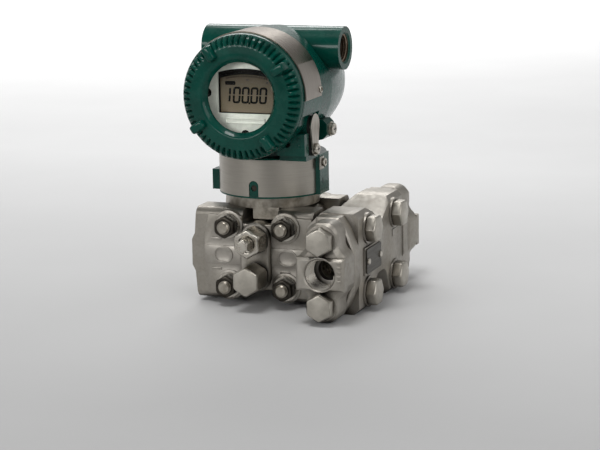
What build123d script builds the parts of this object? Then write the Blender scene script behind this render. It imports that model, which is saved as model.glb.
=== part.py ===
from build123d import *
import os
from math import cos, radians, sin, sqrt

# Low-flow differential pressure transmitter: a painted two-chamber head on a stainless neck, a capsule
# clamped between two cover flanges, and a side manifold with in-line process connectors.
# Millimetres. X points to the manifold, -Y to the display, +Z up; the floor is at Z = 0.

os.makedirs("parts", exist_ok=True)

# Where the main axes stand
flow_z = 32.4            # height of the flow axis, which runs along Y
capsule_x = -14.2        # middle of the four flange studs
head_x = -17.2           # upright axis on which the head turns
port_x = 42.8            # flow axis
barrel_rise = 105.3      # barrel axis above the flow axis

# Clearances
thread_gap = 0.05        # radial gap of a fastener in its tapped hole
turn_gap = 0.06          # radial gap of a part that turns
hole_gap = 0.5           # radial gap of a fastener in a plain hole
seat_gap = 0.3           # between faces that move on one another
trim_gap = 0.05          # behind a thin plate on a curved wall

# Cover flanges
capsule_width = 32.0
flange_thickness = 22.0
flange_left = 44.9       # stud middle to the left edge
flange_right = 37.3      # stud middle to the manifold joint
flange_top = 30.0        # half height over the stud bars
flange_waist = 21.0      # half height between the stud bars
bar_round = 5.0
edge_step = 2.5          # the rim of the casting lies this far behind its face
flange_draft = 1.4       # how far the left edge leans in towards its ends
face_left = 36.7
face_half = 26.0
notch_left = 11.0        # stud middle to the ends of the stud bars
notch_right = 13.0
notch_round = 2.5
boss_reach = 47.0        # stud middle to the tip of the round boss on the left
boss_half = 8.5
shoulder_half = 12.6
band_half = 6.0          # half height of the raised band across the face
band_rise = 0.6
pad_shift = -0.6         # plug pad, right of the stud middle
pad_width = 20.6
pad_height = 45.0
pad_rise = 3.6
pad_root = 4.0           # the pad starts this deep behind the joint of the flange
chamber_radius = 18.0
chamber_depth = 2.0
oval_length = 12.0
oval_height = 9.6
oval_line = 0.7
oval_rise = 0.3
oval_left = 23.7
oval_right = 20.7

# Studs and nuts
stud_pitch = 39.2
stud_dia = 8.0
stud_reach = 49.4
nut_flats = 13.0
nut_height = 6.5
washer_dia = 16.0
washer_thickness = 1.6
spot_dia = 19.5
spot_rise = 1.0

# Vent and drain plugs
plug_shift = 0.5         # right of the stud middle
plug_rise = 12.0
plug_thread_dia = 13.2
plug_hex = 17.0
plug_hex_back = 44.5
plug_face = 62.0
vent_plug_face = 58.5
vent_recess_radius = 5.6
vent_recess_depth = 2.5
vent_screw_dia = 6.0
vent_hex = 8.0
vent_screw_face = 66.0
vent_bore_dia = 2.4

# Capsule and the neck on it
capsule_length = 56.0
capsule_height = 54.0
gasket_width = 2.5
gasket_thickness = 1.5
diaphragm_thickness = 0.5
collar_radius = 30.5
collar_bottom = 30.0
collar_top = 37.0
pillar_left = 6.0
pillar_right = 12.0
pillar_reach = 29.5
pillar_gap = 0.6         # over the plug pads
spigot_radius = 29.0
spigot_height = 18.0
lock_groove_depth = 1.6
lock_groove_width = 5.4
lock_screw_rise = 43.9
lock_screw_dia = 4.0
stem_bore_radius = 8.0
sensor_height = 18.0

# Manifold and its bolts
bolt_dia = 10.0
bolt_flats = 16.0
bolt_head = 6.7
bolt_pitch_y = 54.0
bolt_pitch_z = 41.3
bolt_boss_dia = 20.0
manifold_reach = 15.4    # flow axis to the seats of the bolts
manifold_drop = 1.2      # the wall lies this far behind those seats
manifold_half = 32.4     # half height of the lobes
lobe_end = 45.0
lobe_bevel_left = 9.2
lobe_bevel_right = 3.4
groove_top = 23.0        # half width of the upper groove, one millimetre above the lobes
groove_bottom = 3.0      # and at its floor
groove_floor = 21.0
lower_groove_foot = 18.5 # half widths of the lower groove, from its mouth to its roof
lower_groove_bend = 10.0
lower_groove_half = 5.0
lower_groove_bend_drop = 15.2
lower_groove_drop = 12.8
neck_half = 15.0         # neck between the lobe and the connector
neck_side = 11.0
neck_knee_reach = 10.0
neck_knee = 23.8
neck_flat = 5.0          # its flat top ends this far right of the flow axis
neck_left = 12.0
neck_end = 56.0
bolt_grip = 12.0         # length of bolt in the flange
spacer_radius = 9.6
flow_radius = 7.0
tap_radius = 3.0
orifice_radius = 1.5
orifice_thickness = 2.0
seal_thickness = 1.0
data_plate_length = 28.4
data_plate_height = 16.0
data_plate_thickness = 1.0
data_plate_y = 20.5
data_plate_margin = 1.0  # of the raised pad under the plate
drive_screw_dia = 2.6
drive_screw_head = 4.2
drive_screw_rise = 1.2
drive_screw_pitch = 23.6

# Process connectors
connector_face = 75.2
hub_face = 79.0
hub_half = 10.4          # half height of the raised middle, clear of the bolt heads
hub_chamfer = 1.6
mouth_radius = 10.6
mouth_rim = 0.4
port_radius = 9.8
port_depth = 18.0
ear_half = 10.3
ear_top = 31.6           # half height over the ears
side_half = 15.8
side_height = 10.5
ear_shoulder = 15.5
ear_bolt_grip = 15.0
ear_round = 8.0
ear_chamfer = 3.0
ear_spot_radius = 9.8
ear_back_chamfer = 2.0

# Base ring of the head, with its stainless band
ring_radius = 35.3
ring_bottom = 37.3
ring_top = 63.5
ring_round = 1.0
band_bottom = 38.4
band_top = 62.4
band_thickness = 0.6
band_cut = 10.0          # depth of the cuts that open the band
band_gap = 0.1           # between the band and what it passes
lug_reach = 39.8
lug_width = 17.0
lug_top = 50.7
flat_reach = 36.6
flat_front = 10.5
flat_back = 6.5
notch_width = 6.5
notch_top = 48.8
neck_radius = 30.0

# Barrel
barrel_front = 46.6
barrel_radius = 40.4
barrel_straight = 4.0    # the straight stretch ends this far behind the head's axis
barrel_back = 50.0
barrel_back_radius = 33.4
barrel_bulge = 1.0       # how far the tapered stretch bows outwards
front_bore_radius = 35.0
front_bore_end = 8.0
back_bore_radius = 27.0
back_bore_end = 4.0
stem_y = 20.0
tube_y = 10.4
tube_rise = 25.5
tube_radius = 14.1
tube_reach = 47.7
entry_radius = 9.2
entry_depth = 23.0       # threaded stretch with its chamfer
entry_chamfer = 1.2
wire_radius = 7.8
wire_depth = 40.0
entry_plug_length = 12.0
entry_plug_flats = 10.0
strip_thickness = 0.7
strip_width = 29.5
strip_start = -3.0       # degrees below the barrel axis, on the right
strip_arc = 168.0

# Zero adjustment and ground terminal on the right of the head
adjust_depth = 18.0      # block of the zero adjustment, from its face inwards
adjust_length = 22.0
adjust_y = 23.0
adjust_margin = 2.0      # the block reaches this far above the recess
lock_block_x = 28.0      # block of the cover lock, below the rim of the display cover
lock_block_y = 36.9
lock_block_width = 19.0
lock_block_length = 7.2
lock_block_floor = 67.0
lock_block_height = 14.0
lock_hole_x = 25.5
lock_hole_rise = 74.6
lock_hole_radius = 2.4
lock_hole_depth = 4.0
recess_floor = 36.0
recess_margin = 0.6      # over the top of the guard
recess_front = 50.0
recess_back = 15.0
recess_reach = 20.0
guard_y = 25.0
guard_pivot_rise = 69.8
guard_over = 9.0         # top of the guard above the zero screw
guard_pad_thickness = 2.0
guard_thickness = 1.0
guard_top_radius = 7.6
guard_foot_radius = 4.6
guard_screw_dia = 4.0
guard_screw_grip = 5.0
guard_head_dia = 7.2
guard_head = 1.8
zero_rise = 83.5
zero_dia = 7.0
zero_slot = 1.2
ground_reach = 41.2
ground_y = 2.5
ground_width = 14.0
ground_rise = 79.5
ground_screw_dia = 4.0
ground_grip = 7.0
ground_head_dia = 8.0
ground_head = 2.4
ground_washer_dia = 9.6
ground_washer_thickness = 1.0
ground_root = 28.0
ground_top = 86.0
ground_bottom = 73.5
ground_bevel = 2.5

# Display cover
cover_radius = 40.4
cover_rim_front = 52.0
cover_ridge_front = 62.0
cover_face = 63.6
ridge_outer = 39.4
face_outer = 32.4
face_flat = 31.3
ridge_depth = 1.3
ridge_count = 58
crease_radius = 27.0
lip_radius = 23.8
lip_y = 57.8
window_radius = 22.5
glass_radius = 26.0
glass_thickness = 4.0
glass_y = 52.9
cover_bore = 32.0
cover_spigot = 5.6
lug_block = 9.0
lug_block_width = 8.0
lug_circle = 32.6
lug_start = 27.0
lug_count = 4
lug_round = 3.0

# Display unit
module_radius = 32.5
module_front = 30.0
bezel_radius = 31.4
bezel_y = 44.6
bezel_thickness = 2.0
bezel_wall = 1.5
lcd_half = 19.3
lcd_bottom = 11.6
lcd_side_top = 14.5
lcd_arch_top = 17.3
lcd_thickness = 2.0

# Terminal side
back_cover_face = 63.4
back_cover_radius = 32.0
back_rim_length = 3.0
back_ridge_count = 48
back_face_radius = 27.6
back_step = 0.8
back_round = 1.6
back_wall = 3.0
block_length = 34.0
block_bottom = 20.0
block_top = 8.0
block_depth = 14.0
terminal_pitch = 11.0
terminal_dia = 5.0

# Places worked out from the sizes above
barrel_z = flow_z + barrel_rise
tube_z = barrel_z + tube_rise
plug_x = capsule_x + plug_shift
face_y = capsule_width / 2 + flange_thickness
chamber_y = capsule_width / 2 + chamber_depth
flange_edge = capsule_x - flange_left
manifold_left = capsule_x + flange_right
bolt_seat = port_x + manifold_reach
manifold_wall = bolt_seat - manifold_drop
bolt_y = bolt_pitch_y / 2
barrel_axis = Axis((head_x, 0, barrel_z), (0, 1, 0))
ring_core = ring_radius - band_thickness
cover_back = barrel_front + seat_gap
back_cover_front = barrel_back + seat_gap
guard_top_rise = zero_rise + guard_over
recess_top = guard_top_rise + recess_margin


# Shapes that several pieces share

def hexagon(flats, turn=30):
    """Hexagon with two of its flats upright, or level where the turn is 0."""
    return RegularPolygon(radius=flats / sqrt(3), side_count=6, rotation=turn)


def doubled(upper, level):
    """Corners above a level, then their mirror images below it."""
    return upper + [(x, 2 * level - z) for x, z in reversed(upper)]


def toothed(outer, depth, count):
    """Corners of a ring of straight ridges, four to a ridge."""
    corners = []
    for i in range(count):
        for share, radius in ((0.0, outer - depth), (0.36, outer - depth), (0.52, outer), (0.84, outer)):
            angle = radians((i + share) * 360 / count)
            corners.append((head_x + radius * cos(angle), barrel_z + radius * sin(angle)))
    return corners


def connector_corners():
    """Outline of a process connector: an eight-sided middle with an ear above and below."""
    top = flow_z + ear_top
    return doubled(
        [
            (port_x - side_half, flow_z + side_height),
            (port_x - ear_half, flow_z + ear_shoulder),
            (port_x - ear_half, top),
            (port_x + ear_half, top),
            (port_x + ear_half, flow_z + ear_shoulder),
            (port_x + side_half, flow_z + side_height),
        ],
        flow_z,
    )


# Cover flanges

with BuildPart() as front_cover_flange:
    # Rim of the casting, with the round boss on its left
    with BuildSketch(Plane.XZ.offset(capsule_width / 2)):
        with BuildLine():
            Polyline(
                doubled(
                    [
                        (manifold_left, flow_z + flange_top),
                        (flange_edge + flange_draft, flow_z + flange_top),
                        (flange_edge, flow_z + shoulder_half),
                        (capsule_x - boss_reach, flow_z + boss_half),
                    ],
                    flow_z,
                ),
                close=True,
            )
        make_face()
    extrude(amount=flange_thickness - edge_step)
    fillet(edges().filter_by(Axis.X).sort_by(Axis.Y)[0:2], bar_round)
    fillet(edges().filter_by(Axis.Y).sort_by(Axis.X)[0:2], 3.0)
    # Face, one step forward, and the band across it
    with BuildSketch(Plane.XZ.offset(face_y - edge_step - 1)):
        with BuildLine():
            left = capsule_x - face_left
            top = (left + 3, flow_z + face_half)
            bottom = (left + 3, flow_z - face_half)
            Line(top, (manifold_left, flow_z + face_half))
            Line((manifold_left, flow_z + face_half), (manifold_left, flow_z - face_half))
            Line((manifold_left, flow_z - face_half), bottom)
            ThreePointArc(bottom, (left - 1, flow_z), top)
        make_face()
    extrude(amount=edge_step + 1)
    with BuildSketch(Plane.XZ.offset(face_y)):
        with Locations(((left + manifold_left) / 2, flow_z)):
            Rectangle(manifold_left - left, 2 * band_half)
    extrude(amount=band_rise)
    # Bare ovals on the band
    with BuildSketch(Plane.XZ.offset(face_y + band_rise)):
        with Locations((capsule_x - oval_left, flow_z), (capsule_x + oval_right, flow_z)):
            SlotOverall(oval_length, oval_height)
            SlotOverall(oval_length - 2 * oval_line, oval_height - 2 * oval_line, mode=Mode.SUBTRACT)
    extrude(amount=oval_rise)
    # Gaps between the stud bars
    with BuildSketch(Plane.XZ.offset(capsule_width / 2)):
        for level in (-1, 1):
            notch_z = flow_z + level * (flange_waist + flange_top)
            with Locations((capsule_x + (notch_right - notch_left) / 2, notch_z)):
                RectangleRounded(notch_left + notch_right, 2 * flange_top, notch_round)
    extrude(amount=flange_thickness + 1, mode=Mode.SUBTRACT)
    # Pad for the plugs
    with BuildSketch(Plane.XZ.offset(capsule_width / 2 + pad_root)):
        with Locations((capsule_x + pad_shift, flow_z)):
            SlotOverall(pad_height, pad_width, rotation=90)
    extrude(amount=flange_thickness - pad_root + pad_rise)
    chamfer(faces().sort_by(Axis.Y)[0].edges(), 1.0)
    # Spot faces and holes of the studs
    with BuildSketch(Plane.XZ.offset(face_y - edge_step)):
        with Locations((capsule_x, flow_z)):
            with GridLocations(stud_pitch, stud_pitch, 2, 2):
                Circle(spot_dia / 2)
    extrude(amount=edge_step + spot_rise)
    with BuildSketch(Plane.XZ.offset(capsule_width / 2)):
        with Locations((capsule_x, flow_z)):
            with GridLocations(stud_pitch, stud_pitch, 2, 2):
                Circle(stud_dia / 2 + hole_gap)
    extrude(amount=flange_thickness + pad_rise, mode=Mode.SUBTRACT)
    # Pressure chamber, plug bores and the passage from the manifold
    with BuildSketch(Plane.XZ.offset(capsule_width / 2)):
        with Locations((capsule_x, flow_z)):
            Circle(chamber_radius)
    extrude(amount=chamber_depth, mode=Mode.SUBTRACT)
    with BuildSketch(Plane.XZ.offset(capsule_width / 2)):
        with Locations((plug_x, flow_z - plug_rise), (plug_x, flow_z + plug_rise)):
            Circle(plug_thread_dia / 2 + thread_gap)
    extrude(amount=flange_thickness + pad_rise, mode=Mode.SUBTRACT)
    tap_x = capsule_x + chamber_radius - 2 * tap_radius
    with BuildSketch(Plane.XZ.offset(capsule_width / 2)):
        with Locations((tap_x, flow_z)):
            Circle(tap_radius)
    extrude(amount=bolt_y - capsule_width / 2 + tap_radius, mode=Mode.SUBTRACT)
    with BuildSketch(Plane.YZ.offset(manifold_left)):
        with Locations((-bolt_y, flow_z)):
            Circle(tap_radius)
    extrude(amount=tap_x - manifold_left, mode=Mode.SUBTRACT)
    # Tapped holes of the manifold bolts
    with BuildSketch(Plane.YZ.offset(manifold_left)):
        with Locations((-bolt_y, flow_z)):
            with GridLocations(1, bolt_pitch_z, 1, 2):
                Circle(bolt_dia / 2 + thread_gap)
    extrude(amount=-bolt_grip - 0.4, mode=Mode.SUBTRACT)
front_cover_flange.part.label = "front_cover_flange"
export_step(front_cover_flange.part, "parts/front_cover_flange.step")

with BuildPart() as rear_cover_flange:
    mirror(front_cover_flange.part, about=Plane.XZ)
rear_cover_flange.part.label = "rear_cover_flange"
export_step(rear_cover_flange.part, "parts/rear_cover_flange.step")

# Capsule: a block between the flanges, with the neck that carries the head

with BuildPart() as capsule_body:
    with BuildSketch(Plane.XZ.offset(capsule_width / 2)):
        with Locations((capsule_x, flow_z)):
            RectangleRounded(capsule_length, capsule_height, 6)
            with GridLocations(stud_pitch, stud_pitch, 2, 2):
                Circle(stud_dia / 2 + hole_gap, mode=Mode.SUBTRACT)
    extrude(amount=-capsule_width)
    # Pillars that rise through the gaps of the flanges, and the collar on them
    pillar_floor = flow_z + pad_height / 2 + pillar_gap
    with BuildSketch(Plane.XY.offset(pillar_floor)):
        with Locations((capsule_x + (pillar_right - pillar_left) / 2, 0)):
            Rectangle(pillar_left + pillar_right, 2 * pillar_reach)
    extrude(amount=flow_z + collar_bottom + 1 - pillar_floor)
    with BuildSketch(Plane.XY.offset(flow_z + capsule_height / 2 - 1)):
        with Locations((capsule_x, 0)):
            Rectangle(stud_pitch, capsule_width - 1)
    extrude(amount=collar_bottom - capsule_height / 2 + 2)
    with BuildSketch(Plane.XY.offset(flow_z + collar_bottom)):
        with Locations((head_x, 0)):
            Circle(collar_radius)
    extrude(amount=collar_top - collar_bottom)
    # Spigot in the base ring, with the groove of the lock screw
    with BuildSketch(Plane.XY.offset(flow_z + collar_top)):
        with Locations((head_x, 0)):
            Circle(spigot_radius)
    extrude(amount=spigot_height)
    with BuildSketch(Plane.XY.offset(flow_z + lock_screw_rise - lock_groove_width / 2)):
        with Locations((head_x, 0)):
            Circle(spigot_radius + 1)
            Circle(spigot_radius - lock_groove_depth, mode=Mode.SUBTRACT)
    extrude(amount=lock_groove_width, mode=Mode.SUBTRACT)
    # Bore of the sensor, and the seats of diaphragms and gaskets
    sensor_bottom = flow_z + collar_top - sensor_height
    with BuildSketch(Plane.XY.offset(sensor_bottom)):
        with Locations((head_x, 0)):
            Circle(stem_bore_radius)
    extrude(amount=sensor_height + spigot_height, mode=Mode.SUBTRACT)
    for side in (-1, 1):
        with BuildSketch(Plane.XZ.offset(side * capsule_width / 2)):
            with Locations((capsule_x, flow_z)):
                Circle(chamber_radius + gasket_width)
        extrude(amount=-side * gasket_thickness, mode=Mode.SUBTRACT)
capsule_body.part.label = "capsule_body"
export_step(capsule_body.part, "parts/capsule_body.step")

with BuildPart() as pressure_sensor:
    with BuildSketch(Plane.XY.offset(sensor_bottom)):
        with Locations((head_x, 0)):
            Circle(stem_bore_radius - thread_gap)
    extrude(amount=sensor_height)
    with BuildSketch(Plane.XY.offset(sensor_bottom + sensor_height)):
        with Locations((head_x, 0)):
            with PolarLocations(stem_bore_radius / 2, 4):
                Circle(0.6)
    extrude(amount=4)
pressure_sensor.part.label = "pressure_sensor"
export_step(pressure_sensor.part, "parts/pressure_sensor.step")

with BuildPart() as sealing_diaphragms:
    for side in (-1, 1):
        with BuildSketch(Plane.XZ.offset(side * (capsule_width / 2 - gasket_thickness))):
            with Locations((capsule_x, flow_z)):
                Circle(chamber_radius - 0.4)
        extrude(amount=side * diaphragm_thickness)
sealing_diaphragms.part.label = "sealing_diaphragms"
export_step(sealing_diaphragms.part, "parts/sealing_diaphragms.step")

with BuildPart() as capsule_gaskets:
    for side in (-1, 1):
        with BuildSketch(Plane.XZ.offset(side * capsule_width / 2)):
            with Locations((capsule_x, flow_z)):
                Circle(chamber_radius + gasket_width)
                Circle(chamber_radius, mode=Mode.SUBTRACT)
        extrude(amount=-side * gasket_thickness)
capsule_gaskets.part.label = "capsule_gaskets"
export_step(capsule_gaskets.part, "parts/capsule_gaskets.step")

# Studs, washers and nuts

nut_seat = face_y + spot_rise
with BuildPart() as flange_studs:
    with BuildSketch(Plane.XZ.offset(stud_reach)):
        with Locations((capsule_x, flow_z)):
            with GridLocations(stud_pitch, stud_pitch, 2, 2):
                Circle(stud_dia / 2)
    extrude(amount=-2 * stud_reach)
    chamfer(faces().filter_by(Axis.Y).edges(), 0.8)
flange_studs.part.label = "flange_studs"
export_step(flange_studs.part, "parts/flange_studs.step")

with BuildPart() as flange_washers:
    for side in (-1, 1):
        with BuildSketch(Plane.XZ.offset(side * nut_seat)):
            with Locations((capsule_x, flow_z)):
                with GridLocations(stud_pitch, stud_pitch, 2, 2):
                    Circle(washer_dia / 2)
                    Circle(stud_dia / 2 + hole_gap, mode=Mode.SUBTRACT)
        extrude(amount=side * washer_thickness)
flange_washers.part.label = "flange_washers"
export_step(flange_washers.part, "parts/flange_washers.step")

with BuildPart() as flange_nuts:
    for side in (-1, 1):
        with BuildSketch(Plane.XZ.offset(side * (nut_seat + washer_thickness))):
            with Locations((capsule_x, flow_z)):
                with GridLocations(stud_pitch, stud_pitch, 2, 2):
                    hexagon(nut_flats)
                    Circle(stud_dia / 2 + thread_gap, mode=Mode.SUBTRACT)
        extrude(amount=side * nut_height)
flange_nuts.part.label = "flange_nuts"
export_step(flange_nuts.part, "parts/flange_nuts.step")

# Plugs: a vent plug with its bleed screw above, a drain plug below

pad_y = face_y + pad_rise
with BuildPart() as front_drain_plug:
    with BuildSketch(Plane.XZ.offset(chamber_y)):
        with Locations((plug_x, flow_z - plug_rise)):
            Circle(plug_thread_dia / 2)
    extrude(amount=plug_hex_back - chamber_y)
    with BuildSketch(Plane.XZ.offset(plug_hex_back)):
        with Locations((plug_x, flow_z - plug_rise)):
            hexagon(plug_hex)
    extrude(amount=plug_face - plug_hex_back)
    chamfer(faces().sort_by(Axis.Y)[0].edges(), 0.9)
front_drain_plug.part.label = "front_drain_plug"
export_step(front_drain_plug.part, "parts/front_drain_plug.step")

with BuildPart() as front_vent_plug:
    with BuildSketch(Plane.XZ.offset(chamber_y)):
        with Locations((plug_x, flow_z + plug_rise)):
            Circle(plug_thread_dia / 2)
    extrude(amount=plug_hex_back - chamber_y)
    with BuildSketch(Plane.XZ.offset(plug_hex_back)):
        with Locations((plug_x, flow_z + plug_rise)):
            hexagon(plug_hex)
    extrude(amount=vent_plug_face - plug_hex_back)
    chamfer(faces().sort_by(Axis.Y)[0].edges(), 0.9)
    with BuildSketch(Plane.XZ.offset(vent_plug_face)):
        with Locations((plug_x, flow_z + plug_rise)):
            Circle(vent_recess_radius)
    extrude(amount=-vent_recess_depth, mode=Mode.SUBTRACT)
    with BuildSketch(Plane.XZ.offset(vent_plug_face)):
        with Locations((plug_x, flow_z + plug_rise)):
            Circle(vent_screw_dia / 2 + turn_gap)
    extrude(amount=-(vent_plug_face - pad_y), mode=Mode.SUBTRACT)
    with BuildSketch(Plane.XZ.offset(vent_plug_face)):
        with Locations((plug_x, flow_z + plug_rise)):
            Circle(vent_bore_dia / 2)
    extrude(amount=chamber_y - vent_plug_face, mode=Mode.SUBTRACT)
front_vent_plug.part.label = "front_vent_plug"
export_step(front_vent_plug.part, "parts/front_vent_plug.step")

with BuildPart() as front_vent_screw:
    vent_hex_back = vent_plug_face - vent_recess_depth + seat_gap
    with BuildSketch(Plane.XZ.offset(pad_y + seat_gap)):
        with Locations((plug_x, flow_z + plug_rise)):
            Circle(vent_screw_dia / 2)
    extrude(amount=vent_hex_back - pad_y - seat_gap)
    with BuildSketch(Plane.XZ.offset(vent_hex_back)):
        with Locations((plug_x, flow_z + plug_rise)):
            hexagon(vent_hex)
    extrude(amount=vent_screw_face - vent_hex_back)
    chamfer(faces().sort_by(Axis.Y)[0].edges(), 0.7)
front_vent_screw.part.label = "front_vent_screw"
export_step(front_vent_screw.part, "parts/front_vent_screw.step")

with BuildPart() as rear_drain_plug:
    mirror(front_drain_plug.part, about=Plane.XZ)
rear_drain_plug.part.label = "rear_drain_plug"
export_step(rear_drain_plug.part, "parts/rear_drain_plug.step")

with BuildPart() as rear_vent_plug:
    mirror(front_vent_plug.part, about=Plane.XZ)
rear_vent_plug.part.label = "rear_vent_plug"
export_step(rear_vent_plug.part, "parts/rear_vent_plug.step")

with BuildPart() as rear_vent_screw:
    mirror(front_vent_screw.part, about=Plane.XZ)
rear_vent_screw.part.label = "rear_vent_screw"
export_step(rear_vent_screw.part, "parts/rear_vent_screw.step")

# Manifold casting: one half is modelled, then mirrored

with BuildPart() as manifold_body:
    # Lobe beside the flange
    with BuildSketch(Plane.XZ.offset(lobe_end)):
        with BuildLine():
            Polyline(
                doubled(
                    [
                        (manifold_left, flow_z + manifold_half - lobe_bevel_left),
                        (manifold_left + lobe_bevel_left, flow_z + manifold_half),
                        (manifold_wall - lobe_bevel_right, flow_z + manifold_half),
                        (manifold_wall, flow_z + manifold_half - lobe_bevel_right),
                    ],
                    flow_z,
                ),
                close=True,
            )
        make_face()
    extrude(amount=-lobe_end)
    # Neck towards the connector, with a long slope on its right
    with BuildSketch(Plane.XZ.offset(lobe_end)):
        with BuildLine():
            Polyline(
                doubled(
                    [
                        (port_x - neck_half, flow_z + neck_left),
                        (port_x - ear_half, flow_z + neck_knee),
                        (port_x - ear_half, flow_z + ear_top),
                        (port_x + neck_flat, flow_z + ear_top),
                        (port_x + neck_knee_reach, flow_z + neck_knee),
                        (port_x + neck_half, flow_z + neck_side),
                    ],
                    flow_z,
                ),
                close=True,
            )
        make_face()
    extrude(amount=neck_end - lobe_end)
    chamfer(faces().sort_by(Axis.Y)[0].edges(), 1.2)
    # Groove between the lobes, wide above and deep below
    with BuildSketch(Plane.YZ.offset(manifold_left)):
        with BuildLine():
            top = flow_z + manifold_half + 1
            floor = flow_z + groove_floor
            Polyline((1, top), (-groove_top, top), (-groove_bottom, floor), (1, floor), close=True)
        make_face()
        with BuildLine():
            base = flow_z - manifold_half - 1
            roof = flow_z - lower_groove_drop
            Polyline(
                (1, base),
                (-lower_groove_foot, base),
                (-lower_groove_bend, flow_z - lower_groove_bend_drop),
                (-lower_groove_half, roof),
                (1, roof),
                close=True,
            )
        make_face()
    extrude(amount=bolt_seat - manifold_left, mode=Mode.SUBTRACT)
    # Bosses and holes of the flange bolts
    with BuildSketch(Plane.YZ.offset(manifold_wall - 1)):
        with Locations((-bolt_y, flow_z)):
            with GridLocations(1, bolt_pitch_z, 1, 2):
                Circle(bolt_boss_dia / 2)
    extrude(amount=manifold_drop + 1)
    with BuildSketch(Plane.YZ.offset(manifold_left)):
        with Locations((-bolt_y, flow_z)):
            with GridLocations(1, bolt_pitch_z, 1, 2):
                Circle(bolt_dia / 2 + hole_gap)
    extrude(amount=bolt_seat - manifold_left, mode=Mode.SUBTRACT)
    # Flow bore, pressure tap and the tapped holes of the connector bolts
    with BuildSketch(Plane.XZ):
        with Locations((port_x, flow_z)):
            Circle(spacer_radius + thread_gap)
    extrude(amount=neck_end, mode=Mode.SUBTRACT)
    with BuildSketch(Plane.YZ.offset(manifold_left)):
        with Locations((-bolt_y, flow_z)):
            Circle(tap_radius)
    extrude(amount=port_x - manifold_left - spacer_radius + 2, mode=Mode.SUBTRACT)
    with BuildSketch(Plane.XZ.offset(neck_end)):
        with Locations((port_x, flow_z)):
            with GridLocations(1, bolt_pitch_z, 1, 2):
                Circle(bolt_dia / 2 + thread_gap)
    extrude(amount=-ear_bolt_grip - 1, mode=Mode.SUBTRACT)
    mirror(about=Plane.XZ)
    # Pad of the data plate
    with BuildSketch(Plane.YZ.offset(manifold_wall - 1)):
        with Locations((-data_plate_y, flow_z)):
            Rectangle(data_plate_length + 2 * data_plate_margin, data_plate_height + 2 * data_plate_margin)
    extrude(amount=manifold_drop + 1)
manifold_body.part.label = "manifold_body"
export_step(manifold_body.part, "parts/manifold_body.step")

with BuildPart() as manifold_bolts:
    with BuildSketch(Plane.YZ.offset(manifold_left - bolt_grip)):
        with Locations((0, flow_z)):
            with GridLocations(bolt_pitch_y, bolt_pitch_z, 2, 2):
                Circle(bolt_dia / 2)
    extrude(amount=bolt_seat - manifold_left + bolt_grip)
    with BuildSketch(Plane.YZ.offset(bolt_seat)):
        with Locations((0, flow_z)):
            with GridLocations(bolt_pitch_y, bolt_pitch_z, 2, 2):
                hexagon(bolt_flats, 0)
    extrude(amount=bolt_head)
    chamfer(faces().group_by(Axis.X)[-1].edges(), 0.9)
manifold_bolts.part.label = "manifold_bolts"
export_step(manifold_bolts.part, "parts/manifold_bolts.step")

with BuildPart() as data_plate:
    with BuildSketch(Plane.YZ.offset(bolt_seat)):
        with Locations((-data_plate_y, flow_z)):
            RectangleRounded(data_plate_length, data_plate_height, 1.5)
    extrude(amount=data_plate_thickness)
    with BuildSketch(Plane.YZ.offset(bolt_seat)):
        with Locations((-data_plate_y, flow_z)):
            with GridLocations(drive_screw_pitch, 1, 2, 1):
                Circle(drive_screw_dia / 2 + thread_gap)
    extrude(amount=data_plate_thickness, mode=Mode.SUBTRACT)
data_plate.part.label = "data_plate"
export_step(data_plate.part, "parts/data_plate.step")

with BuildPart() as data_plate_screws:
    with BuildSketch(Plane.YZ.offset(bolt_seat)):
        with Locations((-data_plate_y, flow_z)):
            with GridLocations(drive_screw_pitch, 1, 2, 1):
                Circle(drive_screw_dia / 2)
    extrude(amount=data_plate_thickness)
    with BuildSketch(Plane.YZ.offset(bolt_seat + data_plate_thickness)):
        with Locations((-data_plate_y, flow_z)):
            with GridLocations(drive_screw_pitch, 1, 2, 1):
                Circle(drive_screw_head / 2)
    extrude(amount=drive_screw_rise)
    chamfer(faces().group_by(Axis.X)[-1].edges(), 0.5)
data_plate_screws.part.label = "data_plate_screws"
export_step(data_plate_screws.part, "parts/data_plate_screws.step")

# Parts in the flow bore

stack_inner = orifice_thickness / 2 + seal_thickness
stack_outer = neck_end - seal_thickness
with BuildPart() as orifice_plate:
    with BuildSketch(Plane.XZ.offset(-orifice_thickness / 2)):
        with Locations((port_x, flow_z)):
            Circle(spacer_radius)
            Circle(orifice_radius, mode=Mode.SUBTRACT)
    extrude(amount=orifice_thickness)
orifice_plate.part.label = "orifice_plate"
export_step(orifice_plate.part, "parts/orifice_plate.step")

with BuildPart() as orifice_seals:
    for side in (-1, 1):
        with BuildSketch(Plane.XZ.offset(side * orifice_thickness / 2)):
            with Locations((port_x, flow_z)):
                Circle(spacer_radius)
                Circle(flow_radius, mode=Mode.SUBTRACT)
        extrude(amount=side * seal_thickness)
orifice_seals.part.label = "orifice_seals"
export_step(orifice_seals.part, "parts/orifice_seals.step")

with BuildPart() as front_spacer:
    with BuildSketch(Plane.XZ.offset(stack_inner)):
        with Locations((port_x, flow_z)):
            Circle(spacer_radius)
            Circle(flow_radius, mode=Mode.SUBTRACT)
    extrude(amount=stack_outer - stack_inner)
    with BuildSketch(Plane.YZ.offset(port_x - spacer_radius)):
        with Locations((-bolt_y, flow_z)):
            Circle(tap_radius)
    extrude(amount=spacer_radius, mode=Mode.SUBTRACT)
front_spacer.part.label = "front_spacer"
export_step(front_spacer.part, "parts/front_spacer.step")

with BuildPart() as rear_spacer:
    mirror(front_spacer.part, about=Plane.XZ)
rear_spacer.part.label = "rear_spacer"
export_step(rear_spacer.part, "parts/rear_spacer.step")

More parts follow.
